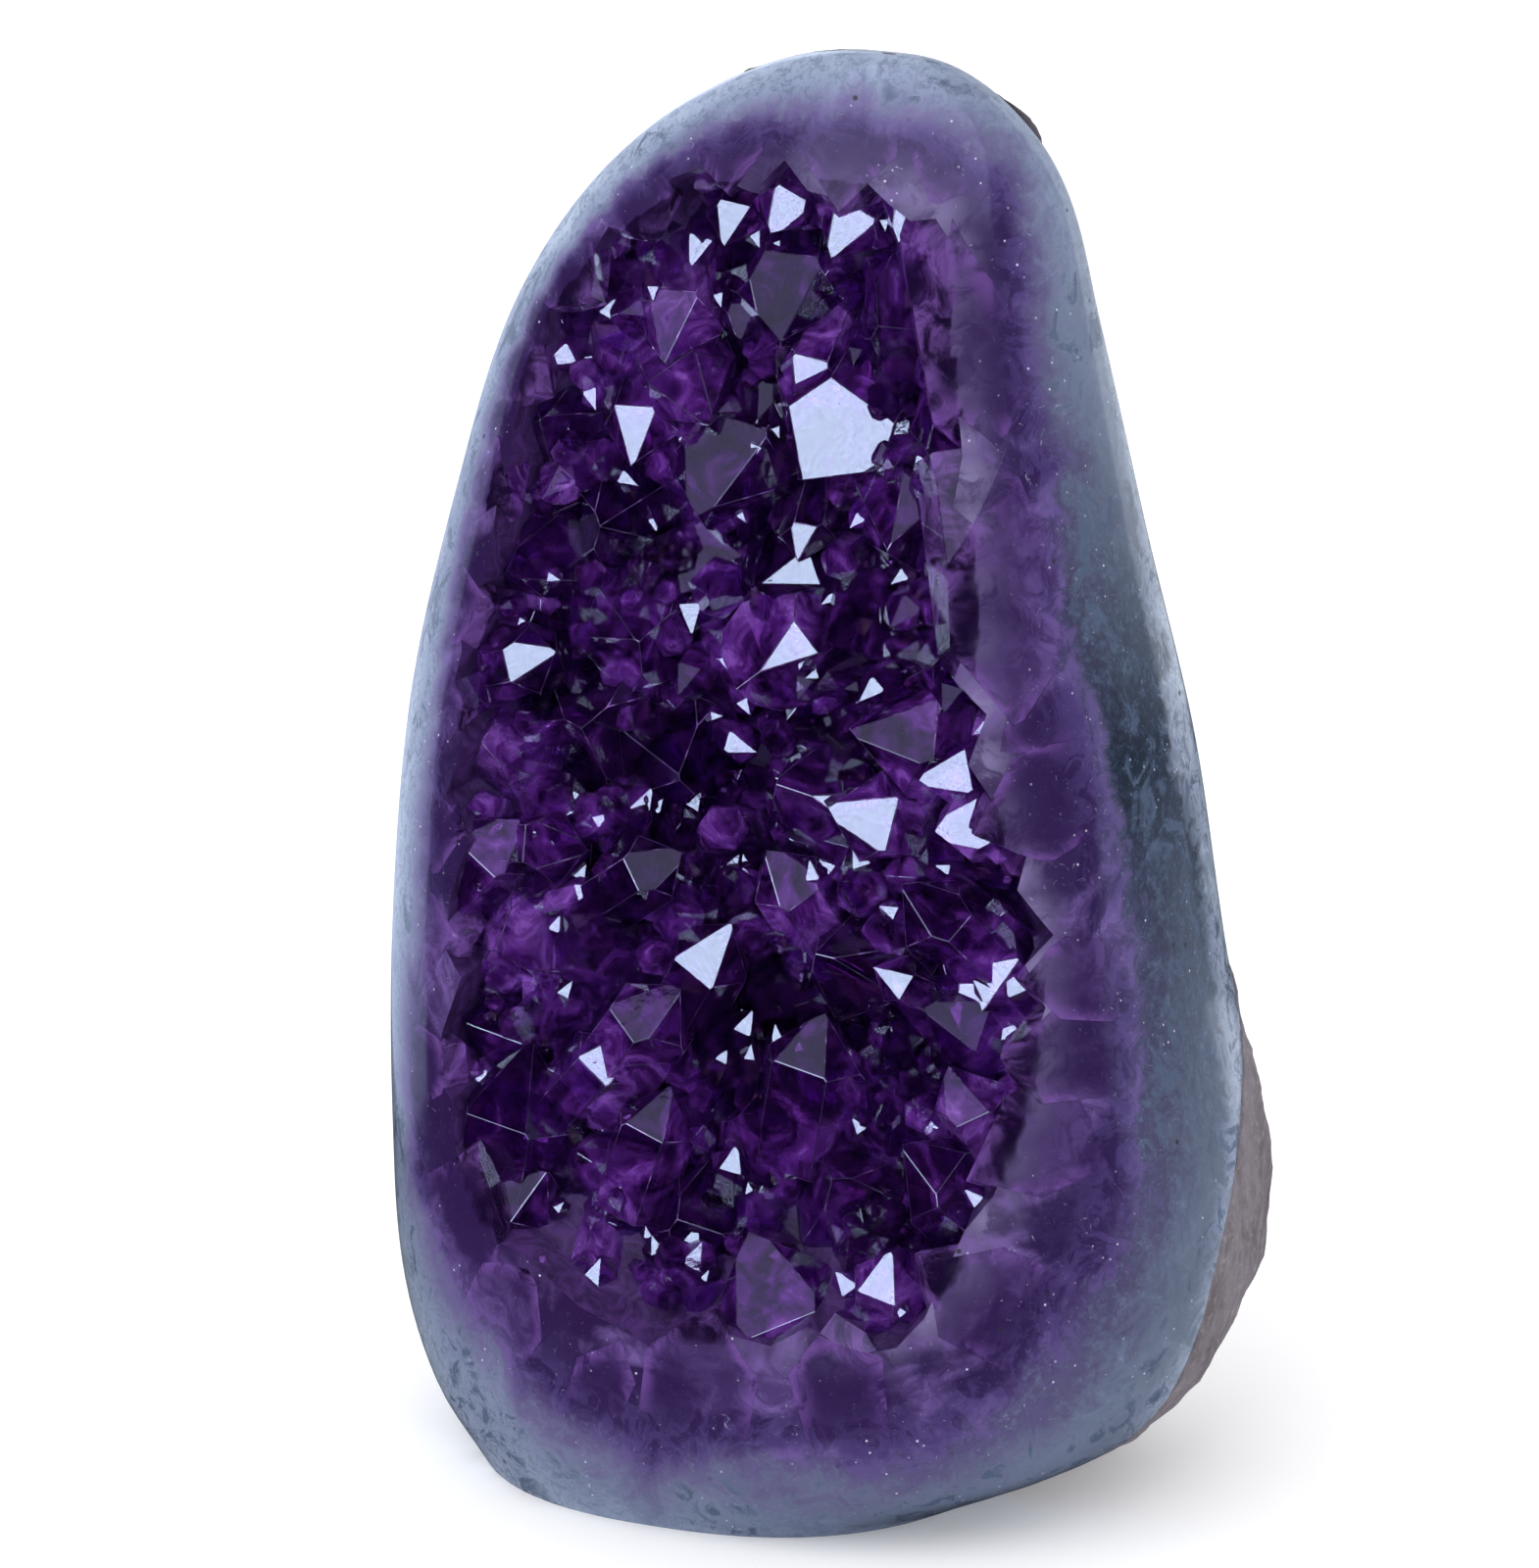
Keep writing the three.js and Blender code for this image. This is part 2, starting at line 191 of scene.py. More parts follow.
class Shader:
    """One material's node tree, and the calls that build it."""

    def __init__(self, name):
        self.material = bpy.data.materials.new(name)
        self.material.use_nodes = True
        self.tree = self.material.node_tree
        self.tree.nodes.clear()
        self.output = self.tree.nodes.new("ShaderNodeOutputMaterial")

    def node(self, kind, settings=None, values=None, out=0):
        """Adds a node: first its settings, then its sockets' values or links. Returns one of its outputs."""
        made = self.tree.nodes.new(kind)
        for key, value in (settings or {}).items():
            if key == "stops":
                self._set_stops(made.color_ramp, value)
            else:
                setattr(made, key, value)
        for key, value in (values or {}).items():
            if isinstance(value, Value):
                self.tree.links.new(value.socket, made.inputs[key])
            elif value is not None:
                made.inputs[key].default_value = value
        return Value(self, made.outputs[out])

    def _set_stops(self, ramp, stops):
        while len(ramp.elements) < len(stops):
            ramp.elements.new(1)
        for element, (position, color) in zip(ramp.elements, stops):
            element.position = position
            element.color = (*color, 1)

    def places(self):
        """Each point's place in the piece, in metres."""
        return self.node("ShaderNodeTexCoord", out=3)

    def attribute(self, name):
        return self.node("ShaderNodeAttribute", {"attribute_name": name}, out=2)

    def noise(self, scale, detail=4, roughness=0.55, warp=0, where=None):
        values = {"Vector": where or self.places(), "Scale": scale, "Detail": detail}
        values.update({"Roughness": roughness, "Distortion": warp})
        return self.node("ShaderNodeTexNoise", None, values)

    def cells(self, scale):
        """How far each place is from the nearest of many scattered points."""
        return self.node("ShaderNodeTexVoronoi", None, {"Vector": self.places(), "Scale": scale})

    def ramp(self, amount, stops):
        return self.node("ShaderNodeValToRGB", {"stops": stops}, {"Fac": amount})

    def mix(self, amount, first, second):
        """The first colour where the amount is 0, the second where it is 1."""
        return self.node("ShaderNodeMix", {"data_type": "RGBA"}, {0: amount, 6: first, 7: second}, out=2)

    def bump(self, height, strength, distance):
        values = {"Height": height, "Strength": strength, "Distance": distance}
        return self.node("ShaderNodeBump", None, values)

    def surface(self, **values):
        named = {key.replace("_", " "): value for key, value in values.items()}
        return self.node("ShaderNodeBsdfPrincipled", None, named)

    def finish(self, surface, volume=None):
        self.tree.links.new(surface.socket, self.output.inputs["Surface"])
        if volume:
            self.tree.links.new(volume.socket, self.output.inputs["Volume"])
        return self.material


def tint(red, green, blue):
    """A colour from 0-255 screen values, as the light that a shader works in."""
    shades = [level / 255 for level in (red, green, blue)]
    return tuple(v / 12.92 if v < 0.0404 else ((v + 0.055) / 1.055) ** 2.4 for v in shades)


def solid_tint(red, green, blue):
    return (*tint(red, green, blue), 1)


FLOOR_GLOW = 0.15  # the table is lit a little from within, so that the stone's shadow stays faint

plain_paper = Shader("pale_floor")
paper_grain = plain_paper.noise(300)
paper_color = plain_paper.mix(paper_grain, solid_tint(246, 246, 248), solid_tint(250, 250, 251))
floor.data.materials.append(plain_paper.finish(plain_paper.surface(
    Base_Color=paper_color,
    Roughness=0.9,
    Emission_Color=(1, 1, 1, 1),
    Emission_Strength=FLOOR_GLOW,
)))
print("floor finish ready")

# %% [markdown]
# ## The stone's outside
#
# The outside is a stack of level sections. Ten stations say how far the stone reaches to the left, right,
# front and back at each height, a smooth curve joins them, and a crown closes the top. The same formula
# gives the polished face's depth at any place seen from the front, so crystals can be set below it.

# %% Body formula
STATIONS = np.array([
    [0.0, -24, 16, -19, 14.5],
    [0.05, -28, 26.5, -21.5, 17],
    [0.12, -31, 31, -22, 20],
    [0.22, -32, 32, -22, 21.5],
    [0.36, -32, 29, -20.5, 20],
    [0.52, -31, 27, -17.5, 17],
    [0.68, -28.5, 24, -14, 14],
    [0.82, -27, 22.5, -10, 12],
    [0.93, -24, 23, -6.5, 11],
    [1.0, -19, 21.5, -4, 10],
])
APEX = (6.5, -1)
CROWN_FLATNESS, CROWN_ROUNDNESS = 6, 2.2
FRONT_SQUARENESS, BACK_SQUARENESS = 2.4, 2.6
MIDDLE = 0.35


def reach(column, share):
    """One column of the stations at each share of the height."""
    at, values = STATIONS[:, 0], STATIONS[:, column]
    last = len(at) - 1
    below = np.maximum(np.arange(last + 1) - 1, 0)
    above = np.minimum(np.arange(last + 1) + 1, last)
    slopes = (values[above] - values[below]) / (at[above] - at[below])
    i = np.clip(np.searchsorted(at, share, side="left") - 1, 0, last - 1)
    span = at[i + 1] - at[i]
    t = (share - at[i]) / span
    start = values[i] * (2 * t**3 - 3 * t**2 + 1)
    end = values[i + 1] * (3 * t**2 - 2 * t**3)
    bend = slopes[i] * (t**3 - 2 * t**2 + t) + slopes[i + 1] * (t**3 - t**2)
    return start + end + bend * span


def section(share):
    """The level section at each share of the height: x and y of its widest line, half width, front, back."""
    share = np.clip(share, 0, 1)
    close = (1 - share**CROWN_FLATNESS) ** (1 / CROWN_ROUNDNESS)
    left, right = (APEX[0] + (reach(c, share) - APEX[0]) * close for c in (1, 2))
    front, back = (APEX[1] + (reach(c, share) - APEX[1]) * close for c in (3, 4))
    return (left + right) / 2, MIDDLE * front + (1 - MIDDLE) * back, (right - left) / 2, front, back


def outside(share, angle):
    """Points on the outside, as rows of x, y, z."""
    x, y, half, front, back = section(share)
    facing = np.cos(angle) > 0
    power = 2 / np.where(facing, FRONT_SQUARENESS, BACK_SQUARENESS)
    across = np.sign(np.sin(angle)) * np.abs(np.sin(angle)) ** power
    along = np.abs(np.cos(angle)) ** power
    edge = np.where(facing, front, back)
    return np.stack([x + half * across, y + (edge - y) * along, share * HEIGHT + 0 * angle], -1)


def face_y(x, z):
    """How far forward the polished face lies at each place seen from the front."""
    middle, y, half, front, _ = section(z / HEIGHT)
    across = np.minimum(np.abs((x - middle) / half), 1)
    return y + (front - y) * (1 - across**FRONT_SQUARENESS) ** (1 / FRONT_SQUARENESS)


def beyond(points):
    """Below 0 inside the stone, above 0 outside it."""
    x, y, half, front, back = section(points[:, 2] / HEIGHT)
    facing = points[:, 1] < y
    edge = np.where(facing, front, back)
    power = np.where(facing, FRONT_SQUARENESS, BACK_SQUARENESS)
    half = np.maximum(half, 1e-3)
    depth = np.maximum(np.abs(edge - y), 1e-3)
    return np.abs((points[:, 0] - x) / half) ** power + (np.abs(points[:, 1] - y) / depth) ** power - 1


def outward(points):
    """The unit outward direction of the outside near each point, and how far the point is from it."""
    step = 0.02
    slopes = []
    for axis in range(3):
        shift = np.zeros(3)
        shift[axis] = step
        slopes.append((beyond(points + shift) - beyond(points - shift)) / (2 * step))
    slopes = np.stack(slopes, -1)
    size = np.maximum(np.linalg.norm(slopes, axis=1), 1e-9)
    return slopes / size[:, None], beyond(points) / size


print("widest section half width:", round(float(section(np.array([0.22]))[2][0]), 2), "mm")

# %% [markdown]
# ## Meshes and cuts
#
# The body is closed rings of points. Cuts and joins use Blender's Boolean modifier, and each result is kept
# as a plain mesh. Its manifold solver is quick and exact on closed meshes. Where it can't make a cut it
# leaves the mesh as it was, and the slower exact solver takes over.

# %% Mesh helpers
def new_piece(name, points, faces):
    """A mesh object from points in millimetres."""
    mesh = bpy.data.meshes.new(name)
    mesh.from_pydata([tuple(p) for p in np.asarray(points) * MM], [], faces)
    piece = bpy.data.objects.new(name, mesh)
    bpy.context.scene.collection.objects.link(piece)
    return piece


def ring_solid(name, first, rings, last):
    """A closed mesh from rings of equally many points, between a first and a last point."""
    count = len(rings[0])
    points = np.vstack([[first], *rings, [last]])
    faces = []
    for k in range(count):
        following = (k + 1) % count
        faces.append((0, 1 + following, 1 + k))
        end = 1 + (len(rings) - 1) * count
        faces.append((len(points) - 1, end + k, end + following))
        for ring in range(len(rings) - 1):
            low, high = 1 + ring * count, 1 + (ring + 1) * count
            faces.append((low + k, low + following, high + following, high + k))
    return new_piece(name, points, faces)


def boolean(piece, tool, operation):
    """Cuts, joins or trims a piece by a tool and keeps the result."""
    step = piece.modifiers.new("cut", "BOOLEAN")
    step.operation, step.object = operation, tool
    before = piece.data
    for solver in ("MANIFOLD", "EXACT"):
        step.solver = solver
        graph = bpy.context.evaluated_depsgraph_get()
        result = bpy.data.meshes.new_from_object(piece.evaluated_get(graph))
        if len(result.vertices) != len(before.vertices):
            break
    piece.modifiers.clear()
    piece.data = result
    bpy.data.meshes.remove(before)
    return piece


def discard(piece):
    """Removes a tool that has done its work."""
    mesh = piece.data
    bpy.data.objects.remove(piece)
    bpy.data.meshes.remove(mesh)


def positions(mesh):
    """A mesh's points, as rows of x, y, z in millimetres."""
    values = np.empty(len(mesh.vertices) * 3)
    mesh.vertices.foreach_get("co", values)
    return values.reshape(-1, 3) / MM


def body_solid(name, levels, spokes, push):
    """The whole stone, its surface pushed outwards by push(points), in millimetres."""
    angles = np.arange(spokes) * 2 * math.pi / spokes
    rings = []
    for level in range(levels):
        share = math.sin(level / levels * math.pi / 2)
        points = outside(np.full(spokes, share), angles)
        sideways = points - [0, 0, share * HEIGHT]
        sideways /= np.linalg.norm(sideways, axis=1)[:, None]
        rings.append(points + sideways * push(points)[:, None])
    top = np.array([APEX[0], APEX[1], HEIGHT])
    return ring_solid(name, (0, 0, 0), rings, top + [0, 0, min(push(top[None])[0], 0)])


# %% [markdown]
# ## The cavity's mouth and its hollow
#
# Sixteen points give the mouth as seen from the front, and a smooth closed curve joins them. The hollow is a
# plug with this outline and a bowl-shaped end. `to_mouth` measures how far a place is from the mouth, which
# later decides how deep the crystals stand.

# %% Mouth and hollow
MOUTH = np.array([
    [2, 96.5], [11, 95], [13.5, 85], [16, 73], [18, 58], [22, 44], [22, 32], [16, 19],
    [3, 16.5], [-11, 17], [-21, 27], [-20.5, 42], [-21.5, 58], [-21, 72], [-17, 86], [-8, 94.5],
])
CAVITY_MIDDLE = np.array([-0.5, 56])
CAVITY_DEPTH, CAVITY_LIP = 14, 1
CAVITY_STEEPNESS, CAVITY_BOWL = 3.2, 2
LID_Y = -60


def closed_curve(corners, count):
    """Points on a smooth closed curve through the corners."""
    t = np.arange(count) / count * len(corners)
    i = t.astype(int)
    t = (t - i)[:, None]
    p0, p1, p2, p3 = (corners[(i + k) % len(corners)] for k in (-1, 0, 1, 2))
    bend = (2 * p0 - 5 * p1 + 4 * p2 - p3) * t**2 + (3 * p1 - p0 - 3 * p2 + p3) * t**3
    return p1 + 0.5 * ((p2 - p0) * t + bend)


mouth_points = closed_curve(MOUTH, 40)
fine_mouth = closed_curve(MOUTH, 240)
mouth_on_face = np.column_stack([fine_mouth[:, 0], face_y(*fine_mouth.T), fine_mouth[:, 1]])


def to_mouth(places):
    """How far places, as rows of x and z, are from the mouth's edge."""
    return np.linalg.norm(places[:, None] - mouth_points[None], axis=2).min(axis=1)


def inside_mouth(places):
    """Which places lie inside the mouth."""
    a, b = mouth_points, np.roll(mouth_points, -1, axis=0)
    x, z = places[:, :1], places[:, 1:]
    crossing = (a[:, 1] > z) != (b[:, 1] > z)
    at = a[:, 0] + (z - a[:, 1]) / np.where(a[:, 1] == b[:, 1], 1, b[:, 1] - a[:, 1]) * (b[:, 0] - a[:, 0])
    return (crossing & (x < at)).sum(axis=1) % 2 == 1


def plug(name, outline, middle, end_y, ring_count):
    """A closed plug with a flat lid in front of the stone; end_y(places, share) shapes its other end."""
    rings = [np.column_stack([outline[:, 0], np.full(len(outline), LID_Y), outline[:, 1]])]
    for ring in range(ring_count, 0, -1):
        share = ring / ring_count
        places = middle + (outline - middle) * share
        rings.append(np.column_stack([places[:, 0], end_y(places, share), places[:, 1]]))
    last = (middle[0], end_y(middle[None], 0)[0], middle[1])
    return ring_solid(name, (middle[0], LID_Y, middle[1]), rings, last)


def bed_y(places, share):
    """How far back the bed of the crystals lies."""
    bowl = (1 - share**CAVITY_STEEPNESS) ** (1 / CAVITY_BOWL)
    return face_y(*places.T) + (CAVITY_DEPTH + CAVITY_LIP) * bowl - CAVITY_LIP

# %% [markdown]
# ## The seam behind the wall
#
# The wall ends at a seam, where the rock that it grew on starts. The seam follows the back of the stone and
# comes forward low down, most of all on the right.

# %% Seam
SEAM_SHARE = 0.72  # how far back it lies, as a share of the stone's own back
SEAM_DROP = 16.4  # how far forward it comes at the base, on the right
SEAM_BOTTOM, SEAM_TOP = 16, 44  # the heights between which it comes forward
SEAM_LEFT = 0.35  # the share of the drop that the left side has
LEFT_FLANK, RIGHT_FLANK = -10, 26


def smooth_between(low, high, value):
    """0 below low, 1 above high, and a smooth step in between."""
    t = np.clip((value - low) / (high - low), 0, 1)
    return t * t * (3 - 2 * t)


def seam_y(places):
    """Where the wall ends and the crust starts, at each place seen from the front."""
    back = section(places[:, 1] / HEIGHT)[4]
    low = 1 - smooth_between(SEAM_BOTTOM, SEAM_TOP, places[:, 1])
    side = SEAM_LEFT + (1 - SEAM_LEFT) * smooth_between(LEFT_FLANK, RIGHT_FLANK, places[:, 0])
    return SEAM_SHARE * back - SEAM_DROP * low * side

# %% [markdown]
# ## The mouth's broken edge
#
# Where the polish meets the cavity, crystals have broken off in small straight chips. `chance` gives the
# unevenness that nature has, and the same numbers every time.

# %% Broken edge
MOUTH_CHIPS, CHIP_DEPTH = 76, 1.5


def chance(n):
    """A repeatable number from 0 to 1 for each number."""
    spread = math.sin(n * 12.9898 + 4.1414) * 43758.5453
    return spread - math.floor(spread)


def broken_mouth(points_per_chip):
    """The mouth's outline as broken crystals leave it: straight chips between uneven corners."""
    corners = closed_curve(MOUTH, MOUTH_CHIPS)
    away = corners - CAVITY_MIDDLE
    away /= np.linalg.norm(away, axis=1)[:, None]
    depths = np.array([CHIP_DEPTH * (2 * chance(k + 0.6) - 1) for k in range(MOUTH_CHIPS)])
    corners = corners + away * depths[:, None]
    following = np.roll(corners, -1, axis=0)
    shares = np.arange(points_per_chip) / points_per_chip
    return (corners[:, None] + (following - corners)[:, None] * shares[None, :, None]).reshape(-1, 2)


# %% [markdown]
# ## How a quartz crystal is shaped
#
# A quartz crystal has six sides and, at its tip, three large end faces and three small ones, each 51.8
# degrees from the axis. It is the space behind thirteen planes, so it is found from where the planes cross.
# The distances vary a little, as they do in nature. A fine bevel catches light along each edge, and pale
# glints are also painted into its colour.

# %% Crystal solid
END_FACE = math.radians(51.8)
EDGE_BEVEL = 0.05
# How far the faces lie from the tip or the axis, and how much that varies, as shares of the width.
LARGE_END_SPREAD = 0.05
SMALL_END, SMALL_END_SPREAD = 0.01, 0.02  # this spread is for each millimetre of the width
SIDE, SIDE_SPREAD = 0.44, 0.12


def crystal_planes(crystal):
    """The outward directions of a crystal's faces, and how far each lies from its tip."""
    axis, side, width, seed = (crystal[key] for key in ("axis", "side", "width", "seed"))
    other = np.cross(axis, side)
    outs, fars = [-axis], [crystal["length"]]
    for k in range(6):
        around = side * math.cos(k * math.pi / 3) + other * math.sin(k * math.pi / 3)
        small = SMALL_END + SMALL_END_SPREAD * width * chance(seed + k)
        large = LARGE_END_SPREAD * chance(seed + k)
        outs.append(axis * math.cos(END_FACE) + around * math.sin(END_FACE))
        fars.append(width * (small if k % 2 else large))
        outs.append(around)
        fars.append(width * (SIDE + SIDE_SPREAD * chance(seed + 10 + k)))
    return np.array(outs), np.array(fars)


TRIPLES = np.array([(a, b, c) for a in range(13) for b in range(a + 1, 13) for c in range(b + 1, 13)])


def crystal_mesh(crystal):
    """A crystal's corners in millimetres and its flat faces."""
    outs, fars = crystal_planes(crystal)
    systems, sides = outs[TRIPLES], fars[TRIPLES]
    sound = np.abs(np.linalg.det(systems)) > 1e-3
    crossings = np.linalg.solve(systems[sound], sides[sound][..., None])[..., 0]
    corners = crossings[(crossings @ outs.T < fars + 1e-6).all(axis=1)]
    _, first = np.unique(np.round(corners, 3), axis=0, return_index=True)
    corners = corners[np.sort(first)]
    faces = []
    for out, far in zip(outs, fars):
        on = np.flatnonzero(np.abs(corners @ out - far) < 2e-3)
        if len(on) < 3:
            continue
        spokes = corners[on] - corners[on].mean(axis=0)
        across = np.cross(out, spokes[0])
        order = np.argsort(np.arctan2(spokes @ across, spokes @ spokes[0]))
        faces.append(tuple(on[order]))
    return corners + crystal["tip"], faces


# %% [markdown]
# ## Where the crystals stand
#
# The 57 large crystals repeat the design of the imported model: the first ones have one end face turned to
# the front, and each later one stands in the widest gap that is left. Each row below holds the place of the
# face seen from the front, the crystal's width, and how many degrees the face looks upwards, which decides
# whether it flashes, glimmers or stays dark.

# %% Large crystals
TIP_DEPTH, TIP_SLOPE = 7, 7  # how deep the tips stand, and how far from the mouth they get most of the way
LENGTH_PER_WIDTH, STEM = 1.2, 4
FACING_CRYSTALS = [
    [4, 78.5, 9, 12], [1.5, 82, 4.5, 11], [-0.5, 87.5, 7.5, 25], [-7, 80, 6, 17], [-11, 77, 5, 12],
    [4, 92.5, 5, 13], [9, 94, 4.5, 11], [-0.5, 93.5, 4, 12], [-4.5, 92.5, 4, 15], [-9, 84.5, 6, 26],
    [-17, 61, 4.5, 14], [2.5, 71, 3.5, 13], [10.5, 59, 7.5, 27], [9, 52.5, 6.5, 12], [15, 56.5, 4.5, 14],
    [16.5, 53, 5, 12], [14, 47, 6, 37], [11.5, 41.5, 3.8, 12], [6, 36, 6.5, 33], [16, 39, 5, 25],
    [-18.5, 48, 5.5, 25], [-14, 48, 5, 20], [-6.5, 47.5, 4.8, 25], [3, 48, 4.8, 24], [-2, 42, 5.2, 16],
    [-6, 37.5, 6, 36], [-9.5, 33.5, 5, 18], [-5.5, 30, 5, 35], [-16.5, 30, 8.5, 36], [-15, 23.5, 5, 25],
    [4.5, 20, 9, 33], [13, 21, 5, 12], [15.5, 29, 6, 37], [17, 34, 5, 25],
]
FACING_TURN, FACING_TURN_SPREAD, FACING_LIFT_SPREAD = 12, 14, 2  # degrees
FILLING_CRYSTALS, WIDEST = 23, 8
SHORTEST, FOOT_COVER = 2.5, 1  # a crystal's least length, and the stone kept behind its foot


def crystal_at(tip, axis, side, width, seed, length=None):
    """A crystal from its tip, its axis and the direction of its first side."""
    length = length or LENGTH_PER_WIDTH * width + STEM
    return {"tip": tip, "axis": axis, "side": side, "width": width, "seed": seed, "length": length}


def spun(side, axis, angle):
    """A direction across the axis, made one long and turned about the axis."""
    side = side / np.linalg.norm(side)
    return side * math.cos(angle) + np.cross(axis, side) * math.sin(angle)


def tip_level(x, z, deeper=0):
    """Where a crystal's tip stands: the farther from the mouth, the deeper."""
    place = np.array([[x, z]])
    depth = TIP_DEPTH * (1 - math.exp(-to_mouth(place)[0] / TIP_SLOPE)) + deeper
    return np.array([x, face_y(place[:, 0], place[:, 1])[0] + depth, z])


def face_out(x, z):
    """The outward direction of the polished face at a place seen from the front."""
    at = np.array([x - 1, x + 1, x, x]), np.array([z, z, z - 1, z + 1])
    left, right, below, above = face_y(*at)
    out = np.array([(right - left) / 2, -1, (above - below) / 2])
    return out / np.linalg.norm(out)


def inwards(x, z, turned):
    """The angle from straight up to the way towards the middle of the cavity, seen from the front."""
    return math.atan2(CAVITY_MIDDLE[0] - x, CAVITY_MIDDLE[1] - z) + turned


def rooted(crystal):
    """The crystal, cut shorter where its foot would come through the back of the wall."""
    tip, axis = crystal["tip"], crystal["axis"]
    for length in np.arange(crystal["length"], SHORTEST, -0.5):
        foot = tip - axis * length
        if foot[1] + 0.4 * crystal["width"] < seam_y(foot[None, [0, 2]])[0] - FOOT_COVER:
            break
    return {**crystal, "length": length}


def facing_crystal(x, z, width, upwards, seed):
    """A crystal whose first large end face looks to the front."""
    turn = math.radians(FACING_TURN + FACING_TURN_SPREAD * (2 * chance(seed + 1) - 1))
    lift = math.radians(upwards + FACING_LIFT_SPREAD * (2 * chance(seed + 2) - 1))
    out = np.array(direction(turn, lift))
    right = np.array([math.cos(turn), math.sin(turn), 0])
    lean = inwards(x, z, 1.2 * chance(seed + 3) - 0.6)
    to_tip = right * math.sin(lean) + np.cross(out, right) * math.cos(lean)
    axis = out * math.cos(END_FACE) + to_tip * math.sin(END_FACE)
    side = out - axis * (out @ axis)
    side /= np.linalg.norm(side)
    tip = tip_level(x, z) + 0.4 * width * to_tip
    return crystal_at(tip, axis, side, width, seed)


def filling_crystal(x, z, width, seed, deeper=0):
    """A crystal that points out of the cavity, towards its middle."""
    lean = inwards(x, z, 2 * chance(seed + 1) - 1)
    axis = face_out(x, z) + (0.25 + 0.45 * chance(seed + 2)) * np.array([math.sin(lean), 0, math.cos(lean)])
    axis /= np.linalg.norm(axis)
    side = spun(np.cross([0, 0, 1], axis), axis, 2 * chance(seed + 3))
    tip = tip_level(x, z, deeper)
    return crystal_at(tip, axis, side, width, seed)


GRID_STEP = 0.75
CROWDING = 0.42  # how far from its middle a crystal claims room, as a share of its width
MOUTH_ROOM = 1.3  # how wide half a crystal may be, as a share of the way to the mouth

grid = np.arange(-21, 21.01, GRID_STEP), np.arange(18, 96.01, GRID_STEP)
grid_x, grid_z = np.meshgrid(*grid, indexing="ij")
open_places = np.column_stack([grid_x.ravel(), grid_z.ravel()])
open_places = open_places[inside_mouth(open_places)]
open_mouth = to_mouth(open_places)


def room_left(taken):
    """How much room each open place has to the nearest crystal."""
    taken = np.array([place[:3] for place in taken])
    apart = np.linalg.norm(open_places[:, None] - taken[None, :, :2], axis=2)
    return (apart - CROWDING * taken[None, :, 2]).min(axis=1)


places = [list(place) for place in FACING_CRYSTALS]
while len(places) < len(FACING_CRYSTALS) + FILLING_CRYSTALS:
    widths = 2 * np.minimum(np.minimum(room_left(places), MOUTH_ROOM * open_mouth), WIDEST / 2)
    best = int(np.argmax(widths))
    places.append([*open_places[best], widths[best] + 0.5])
large_crystals = [
    rooted(facing_crystal(*place, 20 * i) if i < len(FACING_CRYSTALS) else filling_crystal(*place, 20 * i))
    for i, place in enumerate(places)
]
for number in (1, 13, 40, 57):
    low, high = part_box(f"crystal_{number:02d}")
    tip = large_crystals[number - 1]["tip"]
    outside_box = np.maximum(np.array(low) / MM - tip, tip - np.array(high) / MM).max()
    print(f"crystal_{number:02d}: its tip is {max(outside_box, 0):.2f} mm outside the packed crystal's box")

# %% [markdown]
# ## The druse
#
# Smaller crystals line the rest of the bed. The first ones fill the gaps in the same way as before. A deep
# layer behind them closes what is still open. Last come fine crystals at random places, about half of them
# with a face to the front, which give the cavity its many small glints.

# %% Druse
DRUSE_WIDEST, DRUSE_FINEST, DRUSE_MOST = 5, 1.7, 420
DRUSE_SINK = 1.2  # how much deeper than a large crystal's tip a druse crystal's may stand

druse_places = [list(place) for place in places]
room = room_left(druse_places)
while len(druse_places) - len(places) < DRUSE_MOST:
    widths = 2 * np.minimum(np.minimum(room, MOUTH_ROOM * open_mouth), DRUSE_WIDEST / 2)
    best = int(np.argmax(widths))
    if widths[best] < DRUSE_FINEST:
        break
    x, z = open_places[best]
    width = widths[best] + 0.6
    druse_places.append([x, z, width])
    room = np.minimum(room, np.hypot(open_places[:, 0] - x, open_places[:, 1] - z) - CROWDING * width)
druse_crystals = [
    filling_crystal(*place, 20 * i + 7, DRUSE_SINK * chance(i))
    for i, place in enumerate(druse_places[len(places):], len(places))
]

DEEP_SPACING, DEEP_MARGIN, DEEP_STRAY = 4.6, 2.5, 1.6
DEEP_WIDTH, DEEP_WIDTH_SPREAD = 5.2, 2
DEEP_SINK, DEEP_SINK_SPREAD = 2.2, 1.3
deep_places = [
    (x + (row % 2) * DEEP_SPACING / 2, 18 + row * DEEP_SPACING * 0.87)
    for row in range(20) for x in np.arange(-21, 22, DEEP_SPACING)
]
deep_places = [place for place in deep_places if inside_mouth(np.array([place]))[0]]
for i, (x, z) in enumerate(deep_places):
    margin = to_mouth(np.array([[x, z]]))[0]
    if margin > DEEP_MARGIN:
        x += DEEP_STRAY * (chance(i + 501) - 0.5)
        z += DEEP_STRAY * (chance(i + 502) - 0.5)
        width = DEEP_WIDTH + DEEP_WIDTH_SPREAD * chance(i + 500)
        deeper = DEEP_SINK + DEEP_SINK_SPREAD * chance(i)
        druse_crystals.append(filling_crystal(x, z, width, 5000 + 20 * i, deeper))

